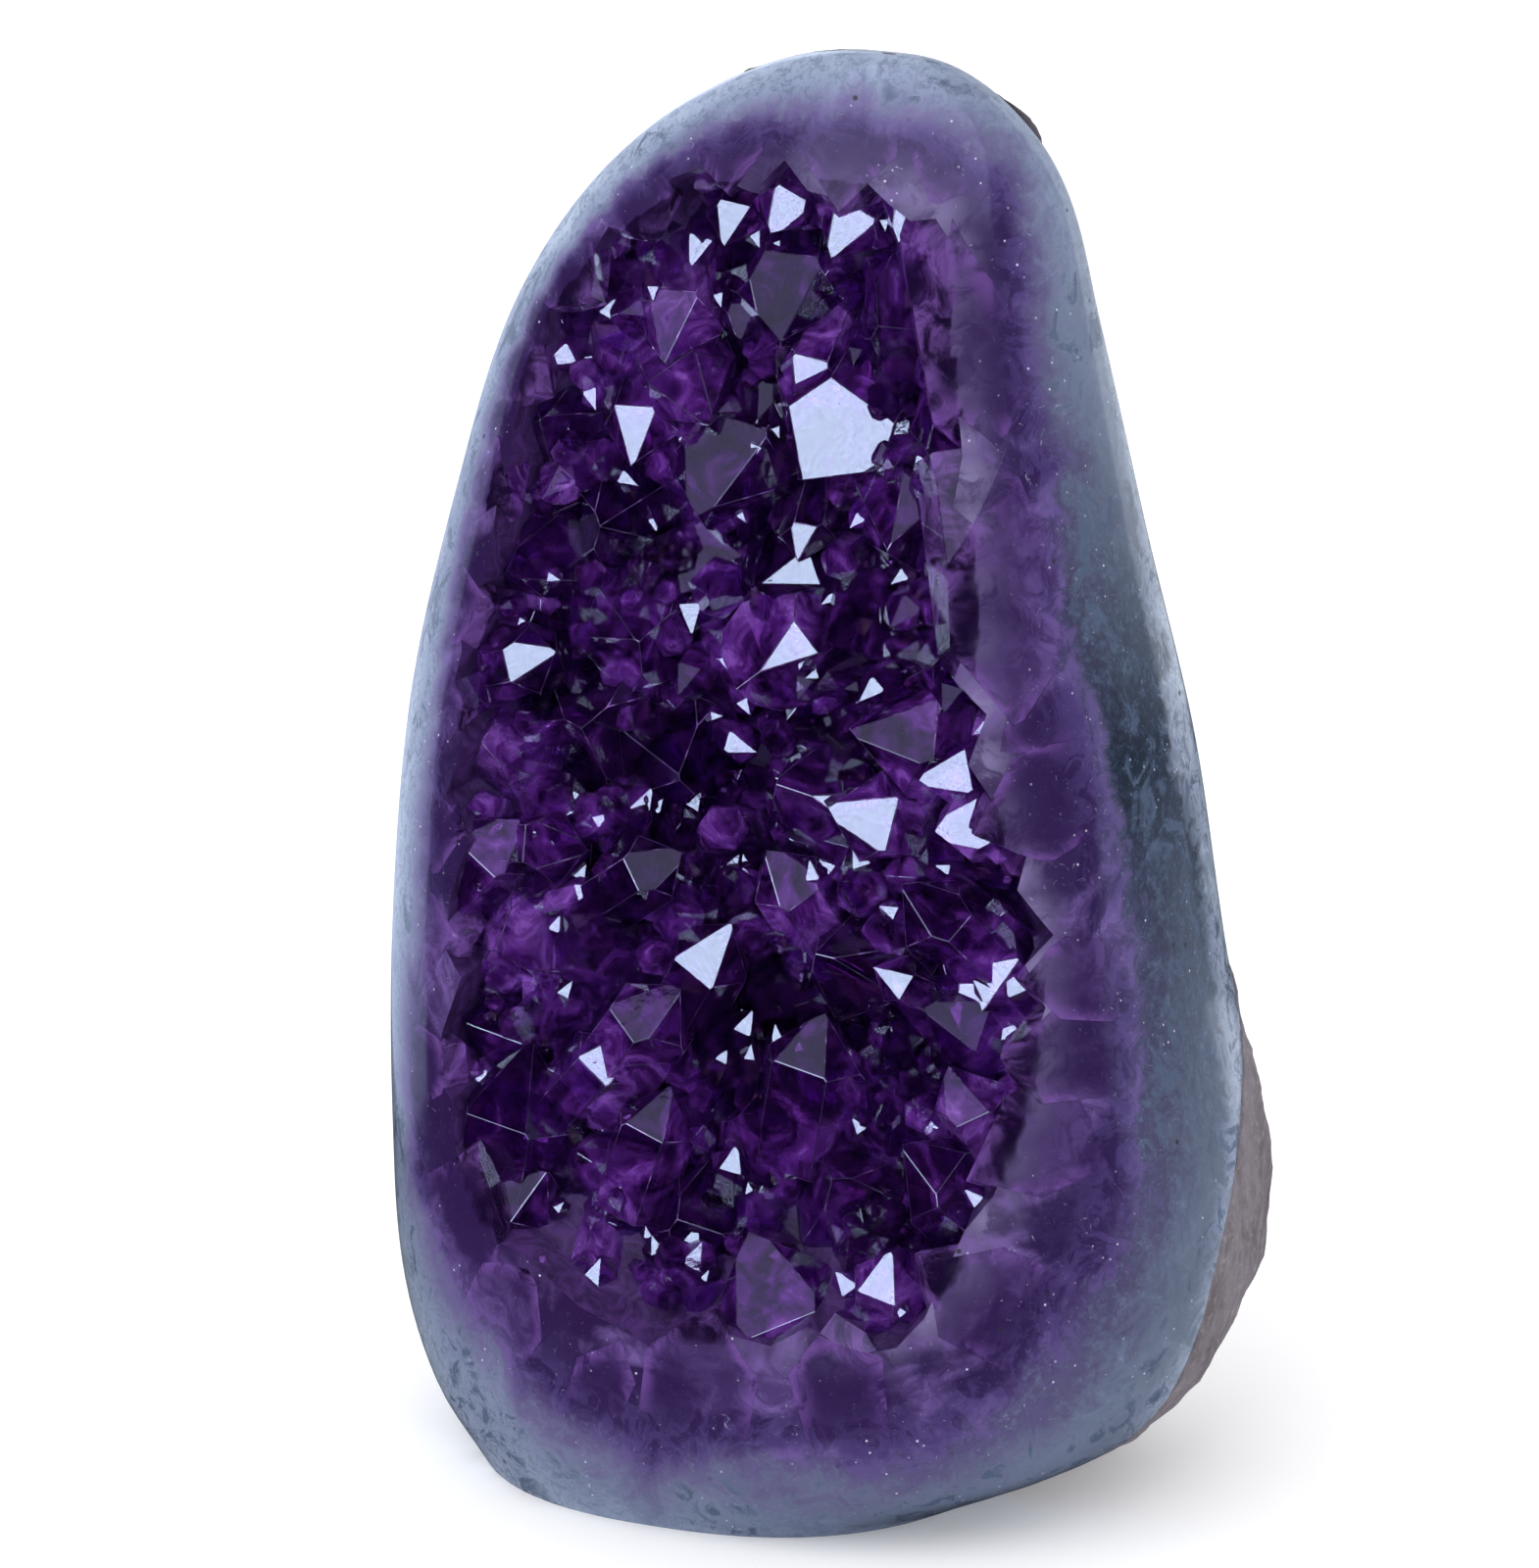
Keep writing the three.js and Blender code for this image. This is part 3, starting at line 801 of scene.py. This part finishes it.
FINE_CRYSTALS, FINE_FACING = 460, 0.5
FINE_WIDTH, FINE_WIDTH_SPREAD = 1.2, 1.8
FINE_SINK, FINE_SINK_SPREAD = 0.6, 2.6
FINE_UPWARDS, FINE_UPWARDS_SPREAD = 4, 18  # degrees
for i in range(FINE_CRYSTALS):
    x, z = open_places[int(chance(i + 0.31) * len(open_places))]
    x, z = x + chance(i + 0.5) - 0.5, z + chance(i + 0.7) - 0.5
    width = FINE_WIDTH + FINE_WIDTH_SPREAD * chance(i + 0.2) ** 2
    deeper = FINE_SINK + FINE_SINK_SPREAD * chance(i + 0.9)
    if chance(i + 0.4) < FINE_FACING:
        upwards = FINE_UPWARDS + FINE_UPWARDS_SPREAD * chance(i + 0.8)
        crystal = facing_crystal(x, z, width, upwards, 12000 + 20 * i)
        crystal["tip"][1] += deeper
    else:
        crystal = filling_crystal(x, z, width, 12000 + 20 * i, deeper)
    druse_crystals.append(crystal)
print(len(large_crystals), "large crystals,", len(druse_crystals), "in the druse")

# %% [markdown]
# ## Crystals at the mouth
#
# Round the mouth the polish cuts through crystals that lie almost flat. Their tips reach a little way over
# the cavity. Each is given by its tip as seen from the front, the way it points in degrees clockwise from
# straight up, its width and its length. The ones that grew first stop the later ones.

# %% Mouth crystals
MOUTH_CRYSTALS = [
    [16.6, 78.6, 176, 7.5, 19], [19.6, 60.6, 182, 8, 19], [17.9, 53.3, 250, 7, 9], [18.9, 58.8, 238, 4.5, 7],
    [21.2, 43, 272, 5.5, 8], [20.5, 37.6, 266, 7, 9], [19.2, 29, 246, 7.2, 9.6], [16.3, 23.4, 300, 7, 9],
    [10.5, 18.6, 354, 6.8, 8.7], [1.5, 18.4, 8, 8, 9], [-5.2, 15.8, 20, 5.5, 7], [-12.5, 19.5, 35, 7, 8],
    [-18.6, 26.8, 12, 8, 12], [-20.5, 33.5, 62, 5.5, 5], [-20, 41, 92, 6, 4.5], [-20.3, 49, 80, 6, 4.5],
    [-20.6, 57, 97, 6.5, 4.5], [-19.9, 65, 84, 6, 5], [-18.6, 72.5, 104, 6.5, 5], [-16.8, 80, 112, 5.6, 5.5],
    [-13.2, 86.8, 120, 5.6, 5.5], [-9, 91.5, 138, 6, 5], [-3.8, 95, 165, 5, 4.5], [4.2, 94.4, 182, 8.5, 7],
    [10.8, 95, 200, 5, 6],
]
LONG_CRYSTAL = 2.2  # the length, in widths, from which a crystal counts as long
MOUTH_SINK = 1.2


def mouth_crystal(x, z, pointing, width, length, seed):
    """A crystal that lies just under the polished face, with its tip over the cavity."""
    pointing = math.radians(pointing)
    lift = math.radians(14 * chance(seed + 3) - 4)
    if length > LONG_CRYSTAL * width:  # its foot dives below the polish, so that no cut end shows
        lift = math.asin(0.62 * width / length)
    out = face_out(x, z)
    flat = np.array([math.sin(pointing), 0, math.cos(pointing)])
    flat -= out * (out @ flat)
    flat /= np.linalg.norm(flat)
    axis = flat * math.cos(lift) + out * math.sin(lift)
    side = spun(np.cross(axis, out), axis, 2 * math.pi * chance(seed + 4))
    edge = np.array([x, face_y(np.array([x]), np.array([z]))[0], z])
    tip = edge - out * MOUTH_SINK * chance(seed + 6)
    return crystal_at(tip, axis, side, width, seed, length)


mouth_crystals = [mouth_crystal(*row, 9000 + 20 * k) for k, row in enumerate(MOUTH_CRYSTALS)]
print(len(mouth_crystals), "crystals at the mouth")

# %% [markdown]
# ## Growing the meshes
#
# Each crystal becomes a mesh with bevelled edges, and the bevels are marked as material 1. Its vertices carry
# two numbers for the finish: `along`, from 0 at the tip to 1 at the foot, and `tone`, which differs at random
# from crystal to crystal and is raised near the mouth as painted light, since more light gets in there. A
# crystal that would reach past the polish is cut off just below it.

# %% Crystal meshes
BODY_LEVELS, BODY_SPOKES = 150, 240
TOOL_LEVELS, TOOL_SPOKES = 70, 110
BELOW_POLISH = -0.15
CUT_FROM = -0.02  # a piece is cut if any of it lies farther out than this
DRUSE_BEVEL = 0.7 * EDGE_BEVEL
LIT_DEPTH, LIT_SHARE = 4, 0.4


def set_numbers(mesh, name, values):
    """Gives each vertex a number that a finish can read by its name."""
    layer = mesh.attributes.get(name) or mesh.attributes.new(name, "FLOAT", "POINT")
    layer.data.foreach_set("value", np.asarray(values, dtype=np.float32))


def crystal_piece(name, crystal, swell=0, bevel=EDGE_BEVEL):
    """One crystal as a closed mesh object; swell grows it on all sides."""
    corners, faces = crystal_mesh(crystal)
    if swell:
        middle = corners.mean(axis=0)
        reach_out = np.linalg.norm(corners - middle, axis=1).min()
        corners = middle + (corners - middle) * (1 + swell / reach_out)
    piece = new_piece(name, corners, faces)
    if bevel:
        work = bmesh.new()
        work.from_mesh(piece.data)
        how = {"segments": 1, "affect": "EDGES", "clamp_overlap": True, "material": 1}
        bmesh.ops.bevel(work, geom=work.edges, offset=bevel * MM, **how)
        work.to_mesh(piece.data)
        work.free()
    depth = (crystal["tip"] - positions(piece.data)) @ crystal["axis"]
    set_numbers(piece.data, "along", np.clip(depth / crystal["length"], 0, 1))
    # Near the mouth the crystals' tone is raised: painted light, as if more light reached them there; the
    # rest differs at random.
    lit = math.exp(-to_mouth(crystal["tip"][None, [0, 2]])[0] / LIT_DEPTH)
    tone = (1 - LIT_SHARE) * chance(crystal["seed"] + 19) + LIT_SHARE * lit
    set_numbers(piece.data, "tone", np.full(len(piece.data.vertices), tone))
    return piece


def join(name, pieces):
    """Joins meshes that don't need to be apart into the first one."""
    with bpy.context.temp_override(active_object=pieces[0], selected_editable_objects=pieces):
        bpy.ops.object.join()
    pieces[0].name = pieces[0].data.name = name
    return pieces[0]


def even_push(amount):
    """Pushes the whole outside by one amount."""
    return lambda points: np.full(len(points), amount)


body_below_polish = body_solid("body_below_polish", TOOL_LEVELS, TOOL_SPOKES, even_push(BELOW_POLISH))


def kept_below_polish(piece):
    """The piece, cut off where it would reach past the polish."""
    if (beyond(positions(piece.data)) > CUT_FROM).any():
        boolean(piece, body_below_polish, "INTERSECT")
    return piece



crystal_pieces = {}
for i, crystal in enumerate(large_crystals):
    piece = crystal_piece(f"amethyst_{i + 1:02d}", crystal)
    crystal_pieces[f"crystal_{i + 1:02d}"] = kept_below_polish(piece)

druse_pieces = []
for i, crystal in enumerate(druse_crystals):
    piece = crystal_piece(f"druse_{i}", rooted(crystal), bevel=DRUSE_BEVEL)
    druse_pieces.append(kept_below_polish(piece))
discard(body_below_polish)
druse = join("druse", druse_pieces)
print("druse faces:", len(druse.data.polygons))

# %% [markdown]
# ## Cutting the crystals at the mouth
#
# These crystals are trimmed by the earlier ones that they run into, and then by the polished face, a hair
# above the wall's own so that the wall doesn't show through. Each vertex gets `rim`, which is high close to
# the crystal's own outline, where the growth zones are paler.

# %% Mouth crystal meshes
RIM_WIDTH = 0.9
AT_POLISH, TRIM_GAP = 0.02, 0.03
NEARBY = 6


def inner_distance(points, crystal):
    """How far points lie inside the nearest side or end face of a crystal."""
    outs, fars = crystal_planes(crystal)
    return (fars[1:] - (points - crystal["tip"]) @ outs[1:].T).min(axis=1)


body_at_polish = body_solid("body_at_polish", BODY_LEVELS, BODY_SPOKES, even_push(AT_POLISH))
mouth_pieces = []
for i, crystal in enumerate(mouth_crystals):
    piece = crystal_piece(f"mouth_{i}", crystal)
    for earlier in mouth_crystals[:i]:
        apart = np.linalg.norm(earlier["tip"] - crystal["tip"])
        if apart < earlier["length"] + crystal["length"] + NEARBY:
            tool = crystal_piece("tool", earlier, swell=TRIM_GAP, bevel=0)
            boolean(piece, tool, "DIFFERENCE")
            discard(tool)
    boolean(piece, body_at_polish, "INTERSECT")
    set_numbers(piece.data, "rim", np.exp(-inner_distance(positions(piece.data), crystal) / RIM_WIDTH))
    mouth_pieces.append(piece)
mouth_ring = join("mouth_crystals", mouth_pieces)
discard(body_at_polish)
print("mouth crystals' faces:", len(mouth_ring.data.polygons))

# %% [markdown]
# ## The wall
#
# The wall is the body in front of the seam, less the hollow and less a socket for each mouth crystal. The
# sockets are a hair smaller than their crystals, so that no air shows between them.

# %% Wall
SEAM_SPOKES, SEAM_RINGS, SEAM_REACH = 96, 60, 90
SOCKET_SHRINK = 0.05


def ahead_of_seam(name, offset):
    """A tool that fills the space in front of the seam, well past the stone on all sides."""
    turn = -np.arange(SEAM_SPOKES) / SEAM_SPOKES * 2 * math.pi
    middle = np.array([0, HEIGHT / 2])
    outline = middle + SEAM_REACH * np.column_stack([np.cos(turn), np.sin(turn)])
    return plug(name, outline, middle, lambda places, share: seam_y(places) + offset, SEAM_RINGS)


wall = body_solid("polished_wall", BODY_LEVELS, BODY_SPOKES, even_push(0))
seam_tool = ahead_of_seam("seam_tool", 0)
boolean(wall, seam_tool, "INTERSECT")
discard(seam_tool)
hollow = plug("hollow_tool", broken_mouth(6), CAVITY_MIDDLE, bed_y, 40)
boolean(wall, hollow, "DIFFERENCE")
discard(hollow)
sockets = crystal_piece("sockets", mouth_crystals[0], swell=-SOCKET_SHRINK, bevel=0)
for crystal in mouth_crystals[1:]:
    tool = crystal_piece("tool", crystal, swell=-SOCKET_SHRINK, bevel=0)
    boolean(sockets, tool, "UNION")
    discard(tool)
boolean(wall, sockets, "DIFFERENCE")
discard(sockets)
print("wall faces:", len(wall.data.polygons))

# %% [markdown]
# ## The polish
#
# On the polished face the normals come from the body's formula, so reflections run over it without a
# ripple. Every other face of the cut meshes stays flat. Each vertex also gets three numbers for the finish:
# `band`, its distance from the mouth in shares of the purple quartz's width there; `slate`, how much of the
# dark band that side has; and `lip`, which is high right at the mouth's edge, mostly on its right, where a
# pale lavender strip is painted on as the reflection of a light.

# %% Polish and bands
ON_FACE = 0.05
ROUND_THE_MOUTH = [-180, -135, -90, -45, 0, 45, 90, 135, 180]  # degrees clockwise from the top
PURPLE_WIDTH = [9.5, 7.5, 3.6, 2, 4.2, 5.2, 8.5, 10.5, 9.5]
SLATE = [0.2, 0.1, 0, 0, 0, 0.2, 1, 0.35, 0.2]
# how strongly the painted reflection of a light shows at each place round the mouth, and how wide it is
PAINTED_REFLECTION_STRENGTH = [0, 0, 0, 0, 0.2, 0.8, 0.8, 0.8, 0]
PAINTED_REFLECTION_WIDTH = 1.9
MOUTH_HALF = (20, 40)  # about half its width and half its height


def polish(piece):
    """Smooth normals on the polish, flat ones elsewhere; material 0 on the outside, 1 in the cavity."""
    mesh = piece.data
    outs, apart = outward(positions(mesh))
    on_face = np.abs(apart) < ON_FACE
    normals, slots = [], []
    for polygon in mesh.polygons:
        corners = list(polygon.vertices)
        facing = np.array(polygon.normal) @ outs[corners].mean(axis=0) > 0.9
        polished = on_face[corners].all() and facing
        low = polygon.center.z < MM
        at_seam = polygon.normal.y > 0.3 and polygon.center.y > 0
        slots.append(0 if polished or low or at_seam else 1)
        normals += [tuple(outs[v]) if polished else tuple(polygon.normal) for v in corners]
    mesh.polygons.foreach_set("material_index", slots)
    mesh.polygons.foreach_set("use_smooth", [True] * len(slots))
    mesh.normals_split_custom_set(normals)
    return slots.count(0)


def set_bands(piece):
    """Gives a piece's vertices the numbers that the stone's colours follow."""
    points = positions(piece.data)
    apart = np.linalg.norm(points[:, None] - mouth_on_face[None, ::4], axis=2).min(axis=1)
    inside = inside_mouth(points[:, [0, 2]])
    away = points[:, [0, 2]] - CAVITY_MIDDLE
    turn = np.degrees(np.arctan2(away[:, 0] / MOUTH_HALF[0], away[:, 1] / MOUTH_HALF[1]))
    width = np.interp(turn, ROUND_THE_MOUTH, PURPLE_WIDTH)
    set_numbers(piece.data, "band", np.where(inside, -apart, apart) / width)
    set_numbers(piece.data, "slate", np.interp(turn, ROUND_THE_MOUTH, SLATE))
    set_numbers(piece.data, "lip", np.exp(-(apart / PAINTED_REFLECTION_WIDTH) ** 2) * np.interp(turn, ROUND_THE_MOUTH, PAINTED_REFLECTION_STRENGTH))


for piece in (wall, mouth_ring):
    print(piece.name, "polished faces:", polish(piece))
    set_bands(piece)

# %% [markdown]
# ## The rock crust
#
# The back of the stone is the rock that it grew in: weathered and uneven, never polished. Its mesh is the
# body again, pushed in and out by fractal noise, and cut along the seam behind the wall.

# %% Crust
CRUST_LEVELS, CRUST_SPOKES = 170, 300
SEAM_OVERLAP = 0.05


def rock_relief(points):
    """Uneven rock, in millimetres: broad swells, lumps and grit."""
    relief = np.empty(len(points))
    for i, point in enumerate(points):
        place = Vector(point)
        swells = noise.fractal(place * 0.09, 1, 2, 3)
        lumps = noise.fractal(place * 0.35 + Vector((7, 0, 3)), 0.9, 2, 4)
        grit = noise.fractal(place * 1.6, 0.8, 2, 3)
        relief[i] = 0.5 * swells + 0.35 * lumps + 0.1 * grit
    return np.clip(relief, -0.9, 0.7)


crust = body_solid("rough_crust", CRUST_LEVELS, CRUST_SPOKES, rock_relief)
seam_tool = ahead_of_seam("seam_tool", -SEAM_OVERLAP)
boolean(crust, seam_tool, "DIFFERENCE")
discard(seam_tool)
crust.data.polygons.foreach_set("use_smooth", [True] * len(crust.data.polygons))
crust.data.set_sharp_from_angle(angle=math.radians(50))
print("crust faces:", len(crust.data.polygons))

# %% [markdown]
# ## Finish of the polished wall
#
# Outwards from the mouth, the polish shows cloudy violet quartz, a milky lavender border, a mottled
# slate-blue band and pale blue-grey agate. All are low-contrast clouds at several scales, with fine veils,
# small bright inclusions and a few dark pits. A low roughness is all that the polish itself needs.

# %% Stone colours
def banded_stone(shader):
    """The colour, roughness and normal of polished agate and cloudy quartz."""
    band = shader.attribute("band")
    slate_side = shader.attribute("slate")
    clouds = shader.noise(95, detail=4, roughness=0.55, warp=0.8)
    patches = shader.noise(340, detail=6, roughness=0.68, warp=1.4)
    flakes = shader.noise(1500, detail=4, roughness=0.75, warp=0.8)
    edge = band + 1.1 * (clouds - 0.5) + 0.8 * (patches - 0.5) + 0.2 * (flakes - 0.5)

    pale = shader.ramp(edge * 0.4, [
        (0.0, tint(42, 24, 68)),
        (0.16, tint(50, 36, 80)),
        (0.3, tint(72, 58, 110)),
        (0.38, tint(92, 80, 130)),
        (0.48, tint(112, 108, 148)),
        (0.62, tint(136, 148, 176)),
        (1.0, tint(186, 200, 220)),
    ])
    in_quartz = edge.between(0.7, 1.25, 1, 0)
    dull = clouds.between(0.4, 0.62) * edge.between(1.2, 1.8, 0, 0.55)
    pale = shader.mix(dull, pale, solid_tint(112, 120, 150))
    dusk = patches.between(0.44, 0.58, 0, 0.85) * in_quartz
    color = shader.mix(dusk, pale, solid_tint(40, 24, 68))
    light = clouds.between(0.48, 0.62, 0, 0.7) * patches.between(0.36, 0.6, 1, 0.35) * in_quartz
    color = shader.mix(light, color, solid_tint(118, 94, 160))
    slate_color = shader.ramp(0.45 * patches + 0.55 * flakes, [
        (0.42, tint(10, 18, 30)),
        (0.5, tint(20, 32, 48)),
        (0.57, tint(38, 52, 74)),
        (0.68, tint(88, 102, 130)),
    ])
    # A pale lavender strip at the mouth's edge: the painted reflection of a light, broken up by the patches.
    lip = shader.attribute("lip") * patches.between(0.4, 0.56, 0.25, 0.75)
    color = shader.mix(lip, color, solid_tint(146, 136, 182))
    in_slate = slate_side * edge.between(0.85, 1.15) * edge.between(1.9, 2.3, 1, 0)
    color = shader.mix(in_slate, color, slate_color)
    mottle = flakes.between(0.48, 0.6, 0, 0.5) * edge.between(0.9, 1.3) * (1 - in_slate)
    color = shader.mix(mottle, color, solid_tint(86, 100, 124))
    streaks = patches.between(0.5, 0.6, 0, 0.8) * clouds.between(0.42, 0.54) * edge.between(1.1, 1.5)
    color = shader.mix(streaks, color, solid_tint(72, 86, 110))
    veils = shader.noise(900, detail=3, roughness=0.8, warp=3).between(0.64, 0.76, 0, 0.45)
    color = shader.mix(veils, color, solid_tint(196, 192, 226))
    pits = shader.cells(420).between(0.05, 0.11, 1, 0) * shader.noise(90).between(0.5, 0.62)
    color = shader.mix(pits * 0.85, color, solid_tint(30, 32, 44))
    sparks = shader.cells(1100).between(0.06, 0.13, 1, 0) * shader.noise(220).between(0.5, 0.6)
    color = shader.mix(sparks * 0.8, color, solid_tint(214, 210, 240))
    roughness = 0.1 + 0.2 * flakes.between(0.5, 0.8) + 0.4 * pits
    relief = patches * 0.3 + pits * -1.5 + sparks
    normal = shader.bump(relief, 0.2, 0.05 * MM)
    return color, roughness, normal


polished = Shader("polished_agate_and_quartz")
stone_color, stone_roughness, stone_normal = banded_stone(polished)
polished_finish = polished.finish(polished.surface(
    Base_Color=stone_color,
    Roughness=stone_roughness,
    IOR=1.54,
    Normal=stone_normal,
))

bed = Shader("cloudy_quartz_bed")
bed_clouds = bed.noise(500, detail=5, roughness=0.7, warp=1)
bed_color = bed.mix(bed_clouds.between(0.3, 0.7), solid_tint(40, 18, 66), solid_tint(78, 46, 114))
bed_finish = bed.finish(bed.surface(
    Base_Color=bed_color,
    Roughness=0.45,
    Normal=bed.bump(bed_clouds, 0.6, 0.3 * MM),
))

# %% [markdown]
# ## Finish of the crystals
#
# Amethyst is clear quartz that swallows green and yellow light, so its colour comes from the volume: thin
# edges stay pale and thick crystals go nearly black. A little milk in the stone, in clouds, is mixed in as an
# opaque violet that is paler towards the foot.

# %% Amethyst
ABSORPTION = {"Color": (0.7, 0.08, 0.78, 1), "Density": 700}


def amethyst(name, milk_least, milk_most, banded=False):
    """Clear, absorbing quartz with milk in it; banded turns to the wall's colours outside the mouth."""
    shader = Shader(name)
    along = shader.attribute("along")
    tone = shader.attribute("tone")
    smears = shader.noise(300, detail=5, roughness=0.65, warp=1.2)
    growth = shader.noise(1500, detail=3, roughness=0.6, warp=0.5)
    pits = shader.cells(650).between(0.08, 0.16, 1, 0) * smears.between(0.5, 0.56)
    normal = shader.bump(growth + 0.8 * smears - 3 * pits, 0.06, 0.03 * MM)
    roughness = 0.02 + 0.08 * smears.between(0.55, 0.8)
    glass = shader.surface(
        Base_Color=solid_tint(240, 226, 250),
        Roughness=roughness,
        IOR=1.544,
        Transmission_Weight=1.0,
        Normal=normal,
    )
    # glow lifts the milk's colour with tone, so crystals near the mouth get painted light; smears and along
    # are the stone's own clouds and paler foot.
    glow = 0.8 * smears + 0.5 * tone + 0.15 * along
    milk_color = shader.ramp(glow, [
        (0.38, tint(12, 2, 24)),
        (0.6, tint(38, 10, 64)),
        (0.75, tint(88, 36, 132)),
        (0.92, tint(144, 90, 194)),
    ])
    milkiness = smears.between(0.3, 0.7, milk_least, milk_most)
    milk_roughness, milk_normal = roughness, normal
    if banded:
        stone_color, milk_roughness, milk_normal = banded_stone(shader)
        band = shader.attribute("band")
        rim = shader.attribute("rim")
        milk_color = shader.mix(band.between(-0.15, 0.12), milk_color, stone_color)
        fading = band.between(0.3, 1.0, 1, 0)
        # Where tone is low the cut crystals turn darker violet: partly their own random tone, partly painted
        # light that falls off away from the mouth.
        milk_color = shader.mix(tone.between(0.2, 0.9, 0.6, 0) * fading, milk_color, solid_tint(44, 26, 74))
        growth_rim = rim.between(0.2, 0.95, 0, 0.55) * fading * smears.between(0.4, 0.6)
        milk_color = shader.mix(growth_rim, milk_color, solid_tint(122, 84, 164))
        milkiness = milkiness + band.between(-0.1, 0.3)
    milk = shader.surface(Base_Color=milk_color, Roughness=milk_roughness, IOR=1.544, Normal=milk_normal)
    both = shader.node("ShaderNodeMixShader", None, {0: milkiness, 1: glass, 2: milk})
    return shader.finish(both, shader.node("ShaderNodeVolumeAbsorption", None, ABSORPTION))


def amethyst_edge(name):
    """The fine bevels: dark violet amethyst, with pale stretches painted in as glints where the edges would
    catch light.
    """
    shader = Shader(name)
    painted_glints = shader.noise(500, detail=4, roughness=0.7, warp=1)
    color = shader.mix(painted_glints.between(0.5, 0.7), solid_tint(34, 12, 58), solid_tint(140, 104, 184))
    bevel = shader.surface(Base_Color=color, Roughness=0.3, IOR=1.544)
    return shader.finish(bevel, shader.node("ShaderNodeVolumeAbsorption", None, ABSORPTION))


crystal_finish = amethyst("amethyst", 0.22, 0.72)
druse_finish = amethyst("fine_amethyst", 0.22, 0.72)
mouth_finish = amethyst("cut_amethyst", 0.4, 0.9, banded=True)
edge_finish = amethyst_edge("amethyst_edges")

# %% [markdown]
# ## Finish of the crust
#
# Weathered basalt: grey-brown, blotched, dull, with fine specks of pale mineral dust.

# %% Rock
rock = Shader("weathered_rock")
upright = rock.node("ShaderNodeMapping", None, {"Vector": rock.places(), "Scale": (1, 1, 0.22)})
blotches = rock.noise(120, detail=6, roughness=0.6, warp=0.8)
streaks = rock.noise(420, detail=5, roughness=0.65, warp=0.6, where=upright)
grains = rock.noise(1500, detail=4, roughness=0.7)
rock_color = rock.ramp(0.5 * blotches + 0.5 * streaks, [
    (0.34, tint(76, 69, 74)),
    (0.46, tint(106, 98, 105)),
    (0.56, tint(128, 121, 130)),
    (0.68, tint(98, 92, 104)),
])
rock_color = rock.mix(grains.between(0.5, 0.75, 0, 0.4), rock_color, solid_tint(178, 170, 170))
rock_finish = rock.finish(rock.surface(
    Base_Color=rock_color,
    Roughness=0.9,
    Normal=rock.bump(grains + 2 * blotches + 1.5 * streaks, 0.7, 0.25 * MM),
))

# %% [markdown]
# ## Fitting out
#
# Every piece rides on the one body and hides the imported nodes that it stands for. A cut can leave empty
# material slots on a mesh, so the slots are cleared and filled afresh, and the faces keep the numbers that
# they had. The bright front panel lights only the crystals: mirrored in the polished sides it would bleach
# them.

# %% Fitting out
for piece, finishes, slot, nodes in (
    (wall, (polished_finish, bed_finish), "agate_wall", ["geode_wall"]),
    (mouth_ring, (mouth_finish, mouth_finish), "amethyst", []),
    (crust, (rock_finish,), "rock", ["rock_crust"]),
    (druse, (druse_finish, edge_finish), "amethyst", []),
    *((piece, (crystal_finish, edge_finish), "amethyst", [node]) for node, piece in crystal_pieces.items()),
):
    faces = piece.data.polygons
    finish_numbers = np.empty(len(faces), dtype=np.int32)
    faces.foreach_get("material_index", finish_numbers)
    piece.data.materials.clear()
    for finish in finishes:
        piece.data.materials.append(finish)
    faces.foreach_set("material_index", np.minimum(finish_numbers, len(finishes) - 1))
    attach(piece, "root")
    if nodes:
        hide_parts(*nodes)

sparkling = bpy.data.collections.new("sparkling")
for piece in (druse, *crystal_pieces.values()):
    sparkling.objects.link(piece)
front_panel.light_linking.receiver_collection = sparkling
print("pieces:", len(crystal_pieces) + 4)
